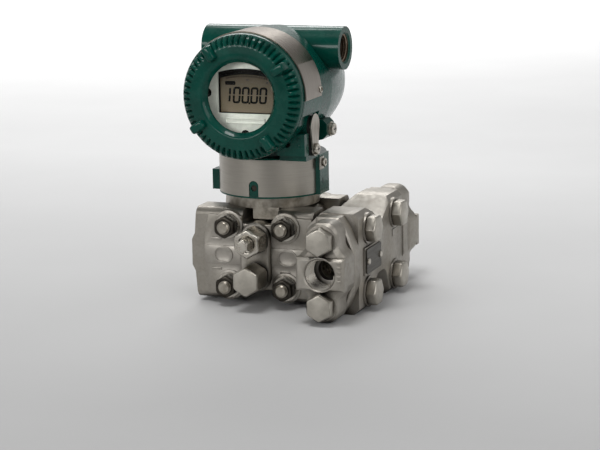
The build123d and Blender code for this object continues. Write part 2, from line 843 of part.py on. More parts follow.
with BuildPart() as connector_seals:
    for side in (-1, 1):
        with BuildSketch(Plane.XZ.offset(side * stack_outer)):
            with Locations((port_x, flow_z)):
                Circle(spacer_radius)
                Circle(flow_radius, mode=Mode.SUBTRACT)
        extrude(amount=side * seal_thickness)
connector_seals.part.label = "connector_seals"
export_step(connector_seals.part, "parts/connector_seals.step")

# Process connectors

with BuildPart() as front_process_connector:
    with BuildSketch(Plane.XZ.offset(neck_end)):
        with BuildLine():
            Polyline(connector_corners(), close=True)
        make_face()
        fillet(vertices().group_by(Axis.Z)[0] + vertices().group_by(Axis.Z)[-1], ear_round)
    extrude(amount=connector_face - neck_end)
    chamfer(faces().sort_by(Axis.Y)[0].edges(), ear_chamfer)
    chamfer(faces().sort_by(Axis.Y)[-1].edges(), ear_back_chamfer)
    # Round seats of the bolts
    with BuildSketch(Plane.XZ.offset(connector_face - ear_chamfer)):
        with Locations((port_x, flow_z)):
            with GridLocations(1, bolt_pitch_z, 1, 2):
                Circle(ear_spot_radius)
    extrude(amount=ear_chamfer)
    # Raised middle with the threaded mouth
    with BuildSketch(Plane.XZ.offset(connector_face - ear_chamfer)):
        with Locations((port_x, flow_z)):
            Rectangle(2 * side_half, 2 * hub_half)
            Circle(mouth_radius + mouth_rim)
    extrude(amount=hub_face - connector_face + ear_chamfer)
    chamfer(faces().sort_by(Axis.Y)[0].edges().filter_by(GeomType.LINE), hub_chamfer)
    with BuildSketch(Plane.XZ.offset(hub_face)):
        with Locations((port_x, flow_z)):
            Circle(port_radius)
    extrude(amount=-port_depth, mode=Mode.SUBTRACT)
    with BuildSketch(Plane.XZ.offset(hub_face)):
        with Locations((port_x, flow_z)):
            Circle(flow_radius)
    extrude(amount=neck_end - hub_face, mode=Mode.SUBTRACT)
    mouth = edges().filter_by(GeomType.CIRCLE).filter_by(lambda e: abs(e.radius - port_radius) < 0.01)
    chamfer(mouth.sort_by(Axis.Y)[0], mouth_radius - port_radius)
    with BuildSketch(Plane.XZ.offset(neck_end)):
        with Locations((port_x, flow_z)):
            with GridLocations(1, bolt_pitch_z, 1, 2):
                Circle(bolt_dia / 2 + hole_gap)
    extrude(amount=connector_face - neck_end, mode=Mode.SUBTRACT)
front_process_connector.part.label = "front_process_connector"
export_step(front_process_connector.part, "parts/front_process_connector.step")

with BuildPart() as rear_process_connector:
    mirror(front_process_connector.part, about=Plane.XZ)
rear_process_connector.part.label = "rear_process_connector"
export_step(rear_process_connector.part, "parts/rear_process_connector.step")

with BuildPart() as connector_bolts:
    for side in (-1, 1):
        with BuildSketch(Plane.XZ.offset(side * (neck_end - ear_bolt_grip))):
            with Locations((port_x, flow_z)):
                with GridLocations(1, bolt_pitch_z, 1, 2):
                    Circle(bolt_dia / 2)
        extrude(amount=side * (connector_face - neck_end + ear_bolt_grip))
        with BuildSketch(Plane.XZ.offset(side * connector_face)):
            with Locations((port_x, flow_z)):
                with GridLocations(1, bolt_pitch_z, 1, 2):
                    hexagon(bolt_flats)
        extrude(amount=side * bolt_head)
    chamfer(faces().group_by(Axis.Y)[0].edges(), 0.9)
    chamfer(faces().group_by(Axis.Y)[-1].edges(), 0.9)
connector_bolts.part.label = "connector_bolts"
export_step(connector_bolts.part, "parts/connector_bolts.step")

# Head casting

guard_pad_x = head_x + recess_floor
guard_back_x = guard_pad_x + guard_pad_thickness + seat_gap
with BuildPart() as amplifier_housing:
    # Base ring with the groove of the band
    with BuildSketch(Plane.XY.offset(flow_z + ring_bottom)):
        with Locations((head_x, 0)):
            Circle(ring_radius)
    extrude(amount=ring_top - ring_bottom)
    fillet(faces().sort_by(Axis.Z)[-1].edges(), ring_round)
    with BuildSketch(Plane.XY.offset(flow_z + band_bottom)):
        with Locations((head_x, 0)):
            Circle(ring_radius + 1)
            Circle(ring_core, mode=Mode.SUBTRACT)
    extrude(amount=band_top - band_bottom, mode=Mode.SUBTRACT)
    # Lug on the left and flat on the right
    with BuildSketch(Plane.XY.offset(flow_z + ring_bottom)):
        with Locations((head_x - lug_reach / 2 - neck_radius / 2, 0)):
            Rectangle(lug_reach - neck_radius, lug_width)
    extrude(amount=lug_top - ring_bottom)
    with BuildSketch(Plane.XY.offset(flow_z + ring_bottom)):
        with Locations((head_x + (flat_reach + neck_radius) / 2, (flat_back - flat_front) / 2)):
            Rectangle(flat_reach - neck_radius, flat_front + flat_back)
    extrude(amount=ring_top - ring_bottom)
    # Neck up to the barrel, with the block of the adjustment on its right
    with BuildSketch(Plane.XY.offset(flow_z + ring_top - 2)):
        with Locations((head_x, 0)):
            Circle(neck_radius)
    extrude(amount=barrel_rise - ring_top)
    # Barrel
    with BuildSketch(Plane.XY.offset(barrel_z)):
        with BuildLine():
            front = (head_x + barrel_radius, -barrel_front)
            bend = (head_x + barrel_radius, barrel_straight)
            back = (head_x + barrel_back_radius, barrel_back)
            Line((head_x, -barrel_front), front)
            Line(front, bend)
            bow = (
                head_x + (barrel_radius + barrel_back_radius) / 2 + barrel_bulge,
                (barrel_straight + barrel_back) / 2,
            )
            ThreePointArc(bend, bow, back)
            Line(back, (head_x, barrel_back))
            Line((head_x, barrel_back), (head_x, -barrel_front))
        make_face()
    revolve(axis=barrel_axis)
    # Undercut of the barrel beside the adjustment
    with BuildSketch(Plane.XY.offset(flow_z + ring_top)):
        with Locations((guard_pad_x + recess_reach / 2, -(recess_front + recess_back) / 2)):
            Rectangle(recess_reach, recess_front - recess_back)
    extrude(amount=recess_top - ring_top, mode=Mode.SUBTRACT)
    with BuildSketch(Plane.XY.offset(flow_z + band_top + seat_gap)):
        with Locations((guard_pad_x - adjust_depth / 2, -adjust_y)):
            Rectangle(adjust_depth, adjust_length)
    extrude(amount=recess_top + adjust_margin - band_top - seat_gap)
    # Block of the cover lock, below the rim of the display cover
    with BuildSketch(Plane.XY.offset(flow_z + lock_block_floor)):
        with Locations((head_x + lock_block_x, -lock_block_y)):
            Rectangle(lock_block_width, lock_block_length)
    extrude(amount=lock_block_height)
    # Cable entries
    with BuildSketch(Plane.YZ.offset(head_x - tube_reach)):
        with Locations((tube_y, tube_z)):
            Circle(tube_radius)
    extrude(amount=2 * tube_reach)
    # Lug of the ground terminal
    with BuildSketch(Plane.XZ.offset(ground_y - ground_width / 2)):
        with BuildLine():
            Polyline(
                (head_x + ground_root, flow_z + ground_top),
                (head_x + ground_reach - ground_bevel, flow_z + ground_top),
                (head_x + ground_reach, flow_z + ground_top - ground_bevel),
                (head_x + ground_reach, flow_z + ground_bottom + ground_bevel),
                (head_x + ground_reach - ground_bevel, flow_z + ground_bottom),
                (head_x + ground_root, flow_z + ground_bottom - ground_bevel),
                close=True,
            )
        make_face()
    extrude(amount=ground_width)
    # Chambers
    with BuildSketch(Plane.XZ.offset(front_bore_end)):
        with Locations((head_x, barrel_z)):
            Circle(front_bore_radius)
    extrude(amount=barrel_front - front_bore_end, mode=Mode.SUBTRACT)
    with BuildSketch(Plane.XZ.offset(-back_bore_end)):
        with Locations((head_x, barrel_z)):
            Circle(back_bore_radius)
    extrude(amount=back_bore_end - barrel_back, mode=Mode.SUBTRACT)
    for side in (-1, 1):
        with BuildSketch(Plane.YZ.offset(head_x + side * tube_reach)):
            with Locations((tube_y, tube_z)):
                Circle(entry_radius)
        extrude(amount=-side * entry_depth, mode=Mode.SUBTRACT)
        with BuildSketch(Plane.YZ.offset(head_x + side * tube_reach)):
            with Locations((tube_y, tube_z)):
                Circle(wire_radius)
        extrude(amount=-side * wire_depth, mode=Mode.SUBTRACT)
    rims = edges().filter_by(GeomType.CIRCLE).filter_by(lambda e: abs(e.radius - entry_radius) < 0.01)
    chamfer(rims.group_by(Axis.X)[0] + rims.group_by(Axis.X)[-1], entry_chamfer)
    # Socket on the spigot of the neck, and the way of the wires
    with BuildSketch(Plane.XY.offset(flow_z + ring_bottom)):
        with Locations((head_x, 0)):
            Circle(spigot_radius + turn_gap)
    extrude(amount=collar_top + spigot_height + 1.5 - ring_bottom, mode=Mode.SUBTRACT)
    with BuildSketch(Plane.XY.offset(flow_z + ring_bottom)):
        with Locations((head_x, -stem_y)):
            Circle(stem_bore_radius)
    extrude(amount=barrel_rise - front_bore_radius + 4 - ring_bottom, mode=Mode.SUBTRACT)
    # Hole of the lock screw
    with BuildSketch(Plane.XZ.offset(spigot_radius - 1)):
        with Locations((head_x, flow_z + lock_screw_rise)):
            Circle(lock_screw_dia / 2 + thread_gap)
    extrude(amount=band_cut, mode=Mode.SUBTRACT)
    # Recess of the screw that locks the display cover
    with BuildSketch(Plane.XZ.offset(lock_block_y + lock_block_length / 2)):
        with Locations((head_x + lock_hole_x, flow_z + lock_hole_rise)):
            Circle(lock_hole_radius)
    extrude(amount=-lock_hole_depth, mode=Mode.SUBTRACT)
    # Holes of the zero screw, the guard's pivot and the ground screw
    with BuildSketch(Plane.YZ.offset(guard_pad_x)):
        with Locations((-guard_y, flow_z + zero_rise)):
            Circle(zero_dia / 2 + turn_gap)
        with Locations((-guard_y, flow_z + guard_pivot_rise)):
            Circle(guard_screw_dia / 2 + thread_gap)
    extrude(amount=-guard_screw_grip - 1, mode=Mode.SUBTRACT)
    with BuildSketch(Plane.YZ.offset(head_x + ground_reach)):
        with Locations((-ground_y, flow_z + ground_rise)):
            Circle(ground_screw_dia / 2 + thread_gap)
    extrude(amount=-ground_grip - 1, mode=Mode.SUBTRACT)
amplifier_housing.part.label = "amplifier_housing"
export_step(amplifier_housing.part, "parts/amplifier_housing.step")

with BuildPart() as swivel_lock_screw:
    with BuildSketch(Plane.XZ.offset(spigot_radius - lock_groove_depth + seat_gap)):
        with Locations((head_x, flow_z + lock_screw_rise)):
            Circle(lock_screw_dia / 2)
    extrude(amount=ring_core - spigot_radius + lock_groove_depth - seat_gap - 0.8)
swivel_lock_screw.part.label = "swivel_lock_screw"
export_step(swivel_lock_screw.part, "parts/swivel_lock_screw.step")

with BuildPart() as neck_band:
    with BuildSketch(Plane.XY.offset(flow_z + band_bottom)):
        with Locations((head_x, 0)):
            Circle(ring_radius)
            Circle(ring_core + trim_gap, mode=Mode.SUBTRACT)
        with Locations((head_x + ring_radius, (flat_back - flat_front) / 2)):
            Rectangle(2 * band_cut, flat_front + flat_back + 2 * band_gap, mode=Mode.SUBTRACT)
    extrude(amount=band_top - band_bottom)
    with BuildSketch(Plane.YZ.offset(head_x - ring_radius - band_cut)):
        with Locations((0, flow_z + (lug_top + ring_bottom) / 2)):
            Rectangle(lug_width + 2 * band_gap, lug_top - ring_bottom + 2 * band_gap)
    extrude(amount=2 * band_cut, mode=Mode.SUBTRACT)
    # Window of the lock screw, open below
    with BuildSketch(Plane.XZ.offset(neck_radius)):
        with Locations((head_x, flow_z + (notch_top + band_bottom) / 2 - notch_width / 2)):
            SlotOverall(notch_top - band_bottom + notch_width, notch_width, rotation=90)
    extrude(amount=band_cut, mode=Mode.SUBTRACT)
neck_band.part.label = "neck_band"
export_step(neck_band.part, "parts/neck_band.step")

with BuildPart() as name_strip:
    strip_inner = barrel_radius + trim_gap
    with BuildSketch(Plane.XZ.offset(barrel_front - trim_gap)):
        with BuildLine():
            at_inner = CenterArc((head_x, barrel_z), strip_inner, strip_start, strip_arc)
            at_outer = CenterArc((head_x, barrel_z), strip_inner + strip_thickness, strip_start, strip_arc)
            Line(at_inner @ 0, at_outer @ 0)
            Line(at_inner @ 1, at_outer @ 1)
        make_face()
    extrude(amount=-strip_width)
name_strip.part.label = "name_strip"
export_step(name_strip.part, "parts/name_strip.step")

# Zero adjustment: screw, gasket pad, swinging guard and its pivot

with BuildPart() as zero_screw:
    zero_face = guard_pad_x + guard_pad_thickness - seat_gap
    with BuildSketch(Plane.YZ.offset(guard_pad_x - guard_screw_grip)):
        with Locations((-guard_y, flow_z + zero_rise)):
            Circle(zero_dia / 2)
    extrude(amount=zero_face - guard_pad_x + guard_screw_grip)
    with BuildSketch(Plane.YZ.offset(zero_face)):
        with Locations((-guard_y, flow_z + zero_rise)):
            Rectangle(zero_dia + 1, zero_slot)
    extrude(amount=-zero_slot, mode=Mode.SUBTRACT)
zero_screw.part.label = "zero_screw"
export_step(zero_screw.part, "parts/zero_screw.step")

with BuildPart() as guard_gasket:
    with BuildSketch(Plane.YZ.offset(guard_pad_x)):
        with Locations((-guard_y, flow_z + zero_rise)):
            Circle(guard_top_radius)
        with Locations((-guard_y, flow_z + (zero_rise + guard_pivot_rise) / 2)):
            Rectangle(2 * guard_foot_radius, zero_rise - guard_pivot_rise)
        with Locations((-guard_y, flow_z + guard_pivot_rise)):
            Circle(guard_foot_radius)
        with Locations((-guard_y, flow_z + zero_rise)):
            Circle(zero_dia / 2 + turn_gap, mode=Mode.SUBTRACT)
        with Locations((-guard_y, flow_z + guard_pivot_rise)):
            Circle(guard_screw_dia / 2 + thread_gap, mode=Mode.SUBTRACT)
    extrude(amount=guard_pad_thickness)
guard_gasket.part.label = "guard_gasket"
export_step(guard_gasket.part, "parts/guard_gasket.step")

with BuildPart() as zero_guard:
    top_centre = guard_top_rise - guard_top_radius
    with BuildSketch(Plane.YZ.offset(guard_back_x)):
        with Locations((-guard_y, flow_z + top_centre)):
            Circle(guard_top_radius)
        with Locations((-guard_y, flow_z + guard_pivot_rise)):
            Circle(guard_foot_radius)
        make_hull()
        with Locations((-guard_y, flow_z + guard_pivot_rise)):
            Circle(guard_screw_dia / 2 + turn_gap, mode=Mode.SUBTRACT)
    extrude(amount=guard_thickness)
zero_guard.part.label = "zero_guard"
export_step(zero_guard.part, "parts/zero_guard.step")

with BuildPart() as guard_pivot:
    with BuildSketch(Plane.YZ.offset(guard_pad_x - guard_screw_grip)):
        with Locations((-guard_y, flow_z + guard_pivot_rise)):
            Circle(guard_screw_dia / 2)
    extrude(amount=guard_back_x + guard_thickness + seat_gap - guard_pad_x + guard_screw_grip)
    with BuildSketch(Plane.YZ.offset(guard_back_x + guard_thickness + seat_gap)):
        with Locations((-guard_y, flow_z + guard_pivot_rise)):
            Circle(guard_head_dia / 2)
    extrude(amount=guard_head)
    chamfer(faces().sort_by(Axis.X)[-1].edges(), 0.6)
guard_pivot.part.label = "guard_pivot"
export_step(guard_pivot.part, "parts/guard_pivot.step")

with BuildPart() as ground_screw:
    with BuildSketch(Plane.YZ.offset(head_x + ground_reach - ground_grip)):
        with Locations((-ground_y, flow_z + ground_rise)):
            Circle(ground_screw_dia / 2)
    extrude(amount=ground_grip + ground_washer_thickness)
    with BuildSketch(Plane.YZ.offset(head_x + ground_reach + ground_washer_thickness)):
        with Locations((-ground_y, flow_z + ground_rise)):
            Circle(ground_head_dia / 2)
    extrude(amount=ground_head)
    chamfer(faces().sort_by(Axis.X)[-1].edges(), 0.6)
ground_screw.part.label = "ground_screw"
export_step(ground_screw.part, "parts/ground_screw.step")

with BuildPart() as ground_washer:
    with BuildSketch(Plane.YZ.offset(head_x + ground_reach)):
        with Locations((-ground_y, flow_z + ground_rise)):
            Circle(ground_washer_dia / 2)
            Circle(ground_screw_dia / 2 + hole_gap, mode=Mode.SUBTRACT)
    extrude(amount=ground_washer_thickness)
ground_washer.part.label = "ground_washer"
export_step(ground_washer.part, "parts/ground_washer.step")

# Display cover: a turned ring with a knurled cone, four wrench lugs and a window

with BuildPart() as display_cover:
    with BuildSketch(Plane.XY.offset(barrel_z)):
        with BuildLine():
            Polyline(
                (head_x + window_radius, -glass_y),
                (head_x + lip_radius, -lip_y),
                (head_x + crease_radius, -cover_face),
                (head_x + face_flat, -cover_face),
                (head_x + face_outer - ridge_depth, -cover_ridge_front),
                (head_x + ridge_outer - ridge_depth, -cover_rim_front),
                (head_x + cover_radius, -cover_rim_front),
                (head_x + cover_radius, -cover_back),
                (head_x + front_bore_radius - turn_gap, -cover_back),
                (head_x + front_bore_radius - turn_gap, -cover_back + cover_spigot),
                (head_x + cover_bore, -cover_back + cover_spigot),
                (head_x + cover_bore, -glass_y + glass_thickness),
                (head_x + glass_radius + thread_gap, -glass_y + glass_thickness),
                (head_x + glass_radius + thread_gap, -glass_y),
                close=True,
            )
        make_face()
    revolve(axis=barrel_axis)
    # Knurled cone
    with BuildSketch(Plane.XZ.offset(cover_rim_front)):
        with BuildLine():
            Polyline(toothed(ridge_outer, ridge_depth, ridge_count), close=True)
        make_face()
        with Locations((head_x, barrel_z)):
            Circle(glass_radius + 2, mode=Mode.SUBTRACT)
    with BuildSketch(Plane.XZ.offset(cover_ridge_front)):
        with BuildLine():
            Polyline(toothed(face_outer, ridge_depth, ridge_count), close=True)
        make_face()
        with Locations((head_x, barrel_z)):
            Circle(glass_radius + 2, mode=Mode.SUBTRACT)
    loft(ruled=True)
    # Wrench lugs
    with BuildSketch(Plane.XZ.offset(cover_rim_front - 1)):
        with Locations((head_x, barrel_z)):
            with PolarLocations(lug_circle, lug_count, start_angle=lug_start):
                RectangleRounded(lug_block, lug_block_width, lug_round)
    extrude(amount=cover_ridge_front - cover_rim_front + 1)
display_cover.part.label = "display_cover"
export_step(display_cover.part, "parts/display_cover.step")

with BuildPart() as window_glass:
    with BuildSketch(Plane.XZ.offset(glass_y - glass_thickness)):
        with Locations((head_x, barrel_z)):
            Circle(glass_radius)
    extrude(amount=glass_thickness)
window_glass.part.label = "window_glass"
export_step(window_glass.part, "parts/window_glass.step")

with BuildPart() as glass_retainer:
    with BuildSketch(Plane.XZ.offset(glass_y - glass_thickness)):
        with Locations((head_x, barrel_z)):
            Circle(cover_bore - thread_gap)
            Circle(glass_radius - 1, mode=Mode.SUBTRACT)
    extrude(amount=-2)
glass_retainer.part.label = "glass_retainer"
export_step(glass_retainer.part, "parts/glass_retainer.step")

# Display unit behind the window

with BuildPart() as amplifier_module:
    with BuildSketch(Plane.XZ.offset(front_bore_end)):
        with Locations((head_x, barrel_z)):
            Circle(module_radius)
    extrude(amount=module_front - front_bore_end)
amplifier_module.part.label = "amplifier_module"
export_step(amplifier_module.part, "parts/amplifier_module.step")

bezel_back = bezel_y - bezel_thickness
with BuildPart() as display_bezel:
    with BuildSketch(Plane.XZ.offset(module_front)):
        with Locations((head_x, barrel_z)):
            Circle(bezel_radius)
    extrude(amount=bezel_y - module_front)
    with BuildSketch(Plane.XZ.offset(module_front)):
        with Locations((head_x, barrel_z)):
            Circle(bezel_radius - bezel_wall)
    extrude(amount=bezel_back - module_front, mode=Mode.SUBTRACT)
    with BuildSketch(Plane.XZ.offset(bezel_back)):
        with BuildLine():
            lower_left = (head_x - lcd_half, barrel_z - lcd_bottom)
            lower_right = (head_x + lcd_half, barrel_z - lcd_bottom)
            upper_left = (head_x - lcd_half, barrel_z + lcd_side_top)
            upper_right = (head_x + lcd_half, barrel_z + lcd_side_top)
            Line(upper_left, lower_left)
            Line(lower_left, lower_right)
            Line(lower_right, upper_right)
            ThreePointArc(upper_right, (head_x, barrel_z + lcd_arch_top), upper_left)
        make_face()
    extrude(amount=bezel_thickness, mode=Mode.SUBTRACT)
display_bezel.part.label = "display_bezel"
export_step(display_bezel.part, "parts/display_bezel.step")

with BuildPart() as lcd_panel:
    with BuildSketch(Plane.XZ.offset(bezel_back)):
        with Locations((head_x, barrel_z + (lcd_arch_top - lcd_bottom) / 2)):
            Rectangle(2 * lcd_half + 4, lcd_arch_top + lcd_bottom + 4)
    extrude(amount=-lcd_thickness)
lcd_panel.part.label = "lcd_panel"
export_step(lcd_panel.part, "parts/lcd_panel.step")

# Terminal side

with BuildPart() as terminal_block:
    with BuildSketch(Plane.XZ.offset(-back_bore_end)):
        with Locations((head_x, barrel_z + (block_top - block_bottom) / 2)):
            RectangleRounded(block_length, block_top + block_bottom, 3)
    extrude(amount=-block_depth)
    with BuildSketch(Plane.XZ.offset(-back_bore_end - block_depth)):
        with Locations((head_x, barrel_z + (block_top - block_bottom) / 2)):
            with GridLocations(terminal_pitch, 1, 3, 1):
                Circle(terminal_dia / 2 + thread_gap)
    extrude(amount=6, mode=Mode.SUBTRACT)
terminal_block.part.label = "terminal_block"
export_step(terminal_block.part, "parts/terminal_block.step")

with BuildPart() as terminal_screws:
    with BuildSketch(Plane.XZ.offset(-back_bore_end - block_depth + 5)):
        with Locations((head_x, barrel_z + (block_top - block_bottom) / 2)):
            with GridLocations(terminal_pitch, 1, 3, 1):
                Circle(terminal_dia / 2)
    extrude(amount=-5)
    with BuildSketch(Plane.XZ.offset(-back_bore_end - block_depth)):
        with Locations((head_x, barrel_z + (block_top - block_bottom) / 2)):
            with GridLocations(terminal_pitch, 1, 3, 1):
                Circle(terminal_dia - 0.8)
    extrude(amount=-2.4)
terminal_screws.part.label = "terminal_screws"
export_step(terminal_screws.part, "parts/terminal_screws.step")

with BuildPart() as terminal_cover:
    back_ridge_start = back_cover_front + back_rim_length
    with BuildSketch(Plane.XY.offset(barrel_z)):
        with BuildLine():
            Polyline(
                (head_x, back_cover_face),
                (head_x + back_face_radius - 4, back_cover_face),
                (head_x + back_face_radius - ridge_depth, back_cover_face - back_round),
                (head_x + back_cover_radius - back_step - ridge_depth, back_ridge_start),
                (head_x + back_cover_radius, back_ridge_start),
                (head_x + back_cover_radius, back_cover_front),
                (head_x + back_bore_radius - turn_gap, back_cover_front),
                (head_x + back_bore_radius - turn_gap, back_cover_front - cover_spigot),
                (head_x + back_bore_radius - back_wall, back_cover_front - cover_spigot),
                (head_x + back_bore_radius - back_wall, back_cover_face - back_wall),
                (head_x, back_cover_face - back_wall),
                close=True,
            )
        make_face()
    revolve(axis=barrel_axis)
    with BuildSketch(Plane.XZ.offset(-back_ridge_start)):
        with BuildLine():
            Polyline(toothed(back_cover_radius - back_step, ridge_depth, back_ridge_count), close=True)
        make_face()
        with Locations((head_x, barrel_z)):
            Circle(back_bore_radius - back_wall, mode=Mode.SUBTRACT)
    with BuildSketch(Plane.XZ.offset(-back_cover_face + back_round)):
        with BuildLine():
            Polyline(toothed(back_face_radius, ridge_depth, back_ridge_count), close=True)
        make_face()
        with Locations((head_x, barrel_z)):
            Circle(back_bore_radius - back_wall, mode=Mode.SUBTRACT)
    loft(ruled=True)
terminal_cover.part.label = "terminal_cover"
export_step(terminal_cover.part, "parts/terminal_cover.step")

with BuildPart() as entry_plug:
    with BuildSketch(Plane.YZ.offset(head_x - tube_reach)):
        with Locations((tube_y, tube_z)):
            Circle(entry_radius - thread_gap)
    extrude(amount=entry_plug_length)
    with BuildSketch(Plane.YZ.offset(head_x - tube_reach)):
        with Locations((tube_y, tube_z)):
            hexagon(entry_plug_flats)
    extrude(amount=entry_plug_length / 2, mode=Mode.SUBTRACT)
entry_plug.part.label = "entry_plug"
export_step(entry_plug.part, "parts/entry_plug.step")
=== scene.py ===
"""Looks of a low-flow differential pressure transmitter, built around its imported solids.

The solids come from the frame. This script dresses each of them in the finish of the real piece and adds what
the solids leave out: rounded edges, threads, the figures of the display, embossed marks and small screws.
Axes are the frame's: +Z up, +X towards the manifold, -Y towards the display. Points and sockets are in metres;
the sizes in the classes, and arguments named _mm, are in millimetres.
"""

import logging
import math
from dataclasses import dataclass
from enum import Enum
from typing import Callable, Optional, Sequence

import bpy
from mathutils import Matrix, Vector


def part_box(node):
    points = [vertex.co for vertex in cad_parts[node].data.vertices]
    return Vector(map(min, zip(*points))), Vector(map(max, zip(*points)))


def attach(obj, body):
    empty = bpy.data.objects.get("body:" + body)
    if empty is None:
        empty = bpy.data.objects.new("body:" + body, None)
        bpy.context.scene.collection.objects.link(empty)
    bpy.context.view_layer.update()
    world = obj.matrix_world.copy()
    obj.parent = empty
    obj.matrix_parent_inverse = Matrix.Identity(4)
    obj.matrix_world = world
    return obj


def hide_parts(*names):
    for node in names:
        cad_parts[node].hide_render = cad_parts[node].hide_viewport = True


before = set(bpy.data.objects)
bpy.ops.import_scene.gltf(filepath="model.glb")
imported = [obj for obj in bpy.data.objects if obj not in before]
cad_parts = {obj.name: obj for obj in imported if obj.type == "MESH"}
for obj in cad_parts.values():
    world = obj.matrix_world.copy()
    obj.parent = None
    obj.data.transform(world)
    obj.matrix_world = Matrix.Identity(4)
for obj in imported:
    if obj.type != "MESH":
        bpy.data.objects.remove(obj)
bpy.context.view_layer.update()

log = logging.getLogger("transmitter")

MM = 0.001

Colour = tuple[float, float, float, float]
Stop = tuple[float, Colour]
Triple = tuple[float, float, float]
Socket = bpy.types.NodeSocket
Piece = bpy.types.Object

EVEN: Triple = (1.0, 1.0, 1.0)
WHITE: Colour = (1.0, 1.0, 1.0, 1.0)
CASTINGS = ("front_cover_flange", "rear_cover_flange", "manifold_body", "front_process_connector",
            "rear_process_connector")


class Body(str, Enum):
    """Bodies of the mechanism that new pieces ride on."""

    PROCESS = "process_body"
    HEAD = "head"
    DISPLAY_COVER = "display_cover_body"
    FRONT_VENT = "front_vent_body"
    REAR_VENT = "rear_vent_body"


class Slot(str, Enum):
    """Material slots of the record; no new piece here is given one."""

    PAINT = "green_paint"
    CAST = "cast_stainless"
    TURNED = "turned_stainless"
    SHEET = "sheet_stainless"
    DARK_STEEL = "dark_steel"
    DISPLAY = "lcd_grey"
    BEZEL = "bezel_white"
    BLACK = "module_black"
    RUBBER = "rubber_black"


class Way(Enum):
    """Turns that send a primitive's own +Z to the right, left, back or front of the instrument."""

    RIGHT = (0.0, math.pi / 2, 0.0)
    LEFT = (0.0, -math.pi / 2, 0.0)
    BACK = (-math.pi / 2, 0.0, 0.0)
    FRONT = (math.pi / 2, 0.0, 0.0)


def linear(code: str) -> Colour:
    """Turns a sRGB colour into linear light.

    Args:
        code: Colour as six hex digits after a hash.

    Returns:
        Red, green, blue and an alpha of 1.
    """
    parts = [int(code[i:i + 2], 16) / 255 for i in (1, 3, 5)]
    light = [v / 12.92 if v <= 0.04045 else ((v + 0.055) / 1.055) ** 2.4 for v in parts]
    return (light[0], light[1], light[2], 1.0)


def grey(level: float) -> Colour:
    """Returns a neutral colour of one level."""
    return (level, level, level, 1.0)


def add_node(tree: bpy.types.NodeTree, kind: str, inputs: Optional[dict] = None, stops: Sequence[Stop] = (),
             **settings) -> bpy.types.Node:
    """Adds one shader node.

    Args:
        tree: Node tree that takes the node.
        kind: Blender's name of the node type.
        inputs: Socket name or number to a value, or to an output socket that is linked to it.
        stops: Position and colour of each stop of a colour ramp, in order, two or more.
        settings: Attributes of the node.

    Returns:
        The new node.
    """
    node = tree.nodes.new(kind)
    for name, value in settings.items():
        setattr(node, name, value)
    for socket, value in (inputs or {}).items():
        if isinstance(value, bpy.types.NodeSocket):
            tree.links.new(value, node.inputs[socket])
        else:
            node.inputs[socket].default_value = value
    if stops:
        elements = node.color_ramp.elements
        for _ in stops[2:]:
            elements.new(0.5)
        for element, (place, colour) in zip(elements, stops):
            element.position = place
            element.color = colour
    return node


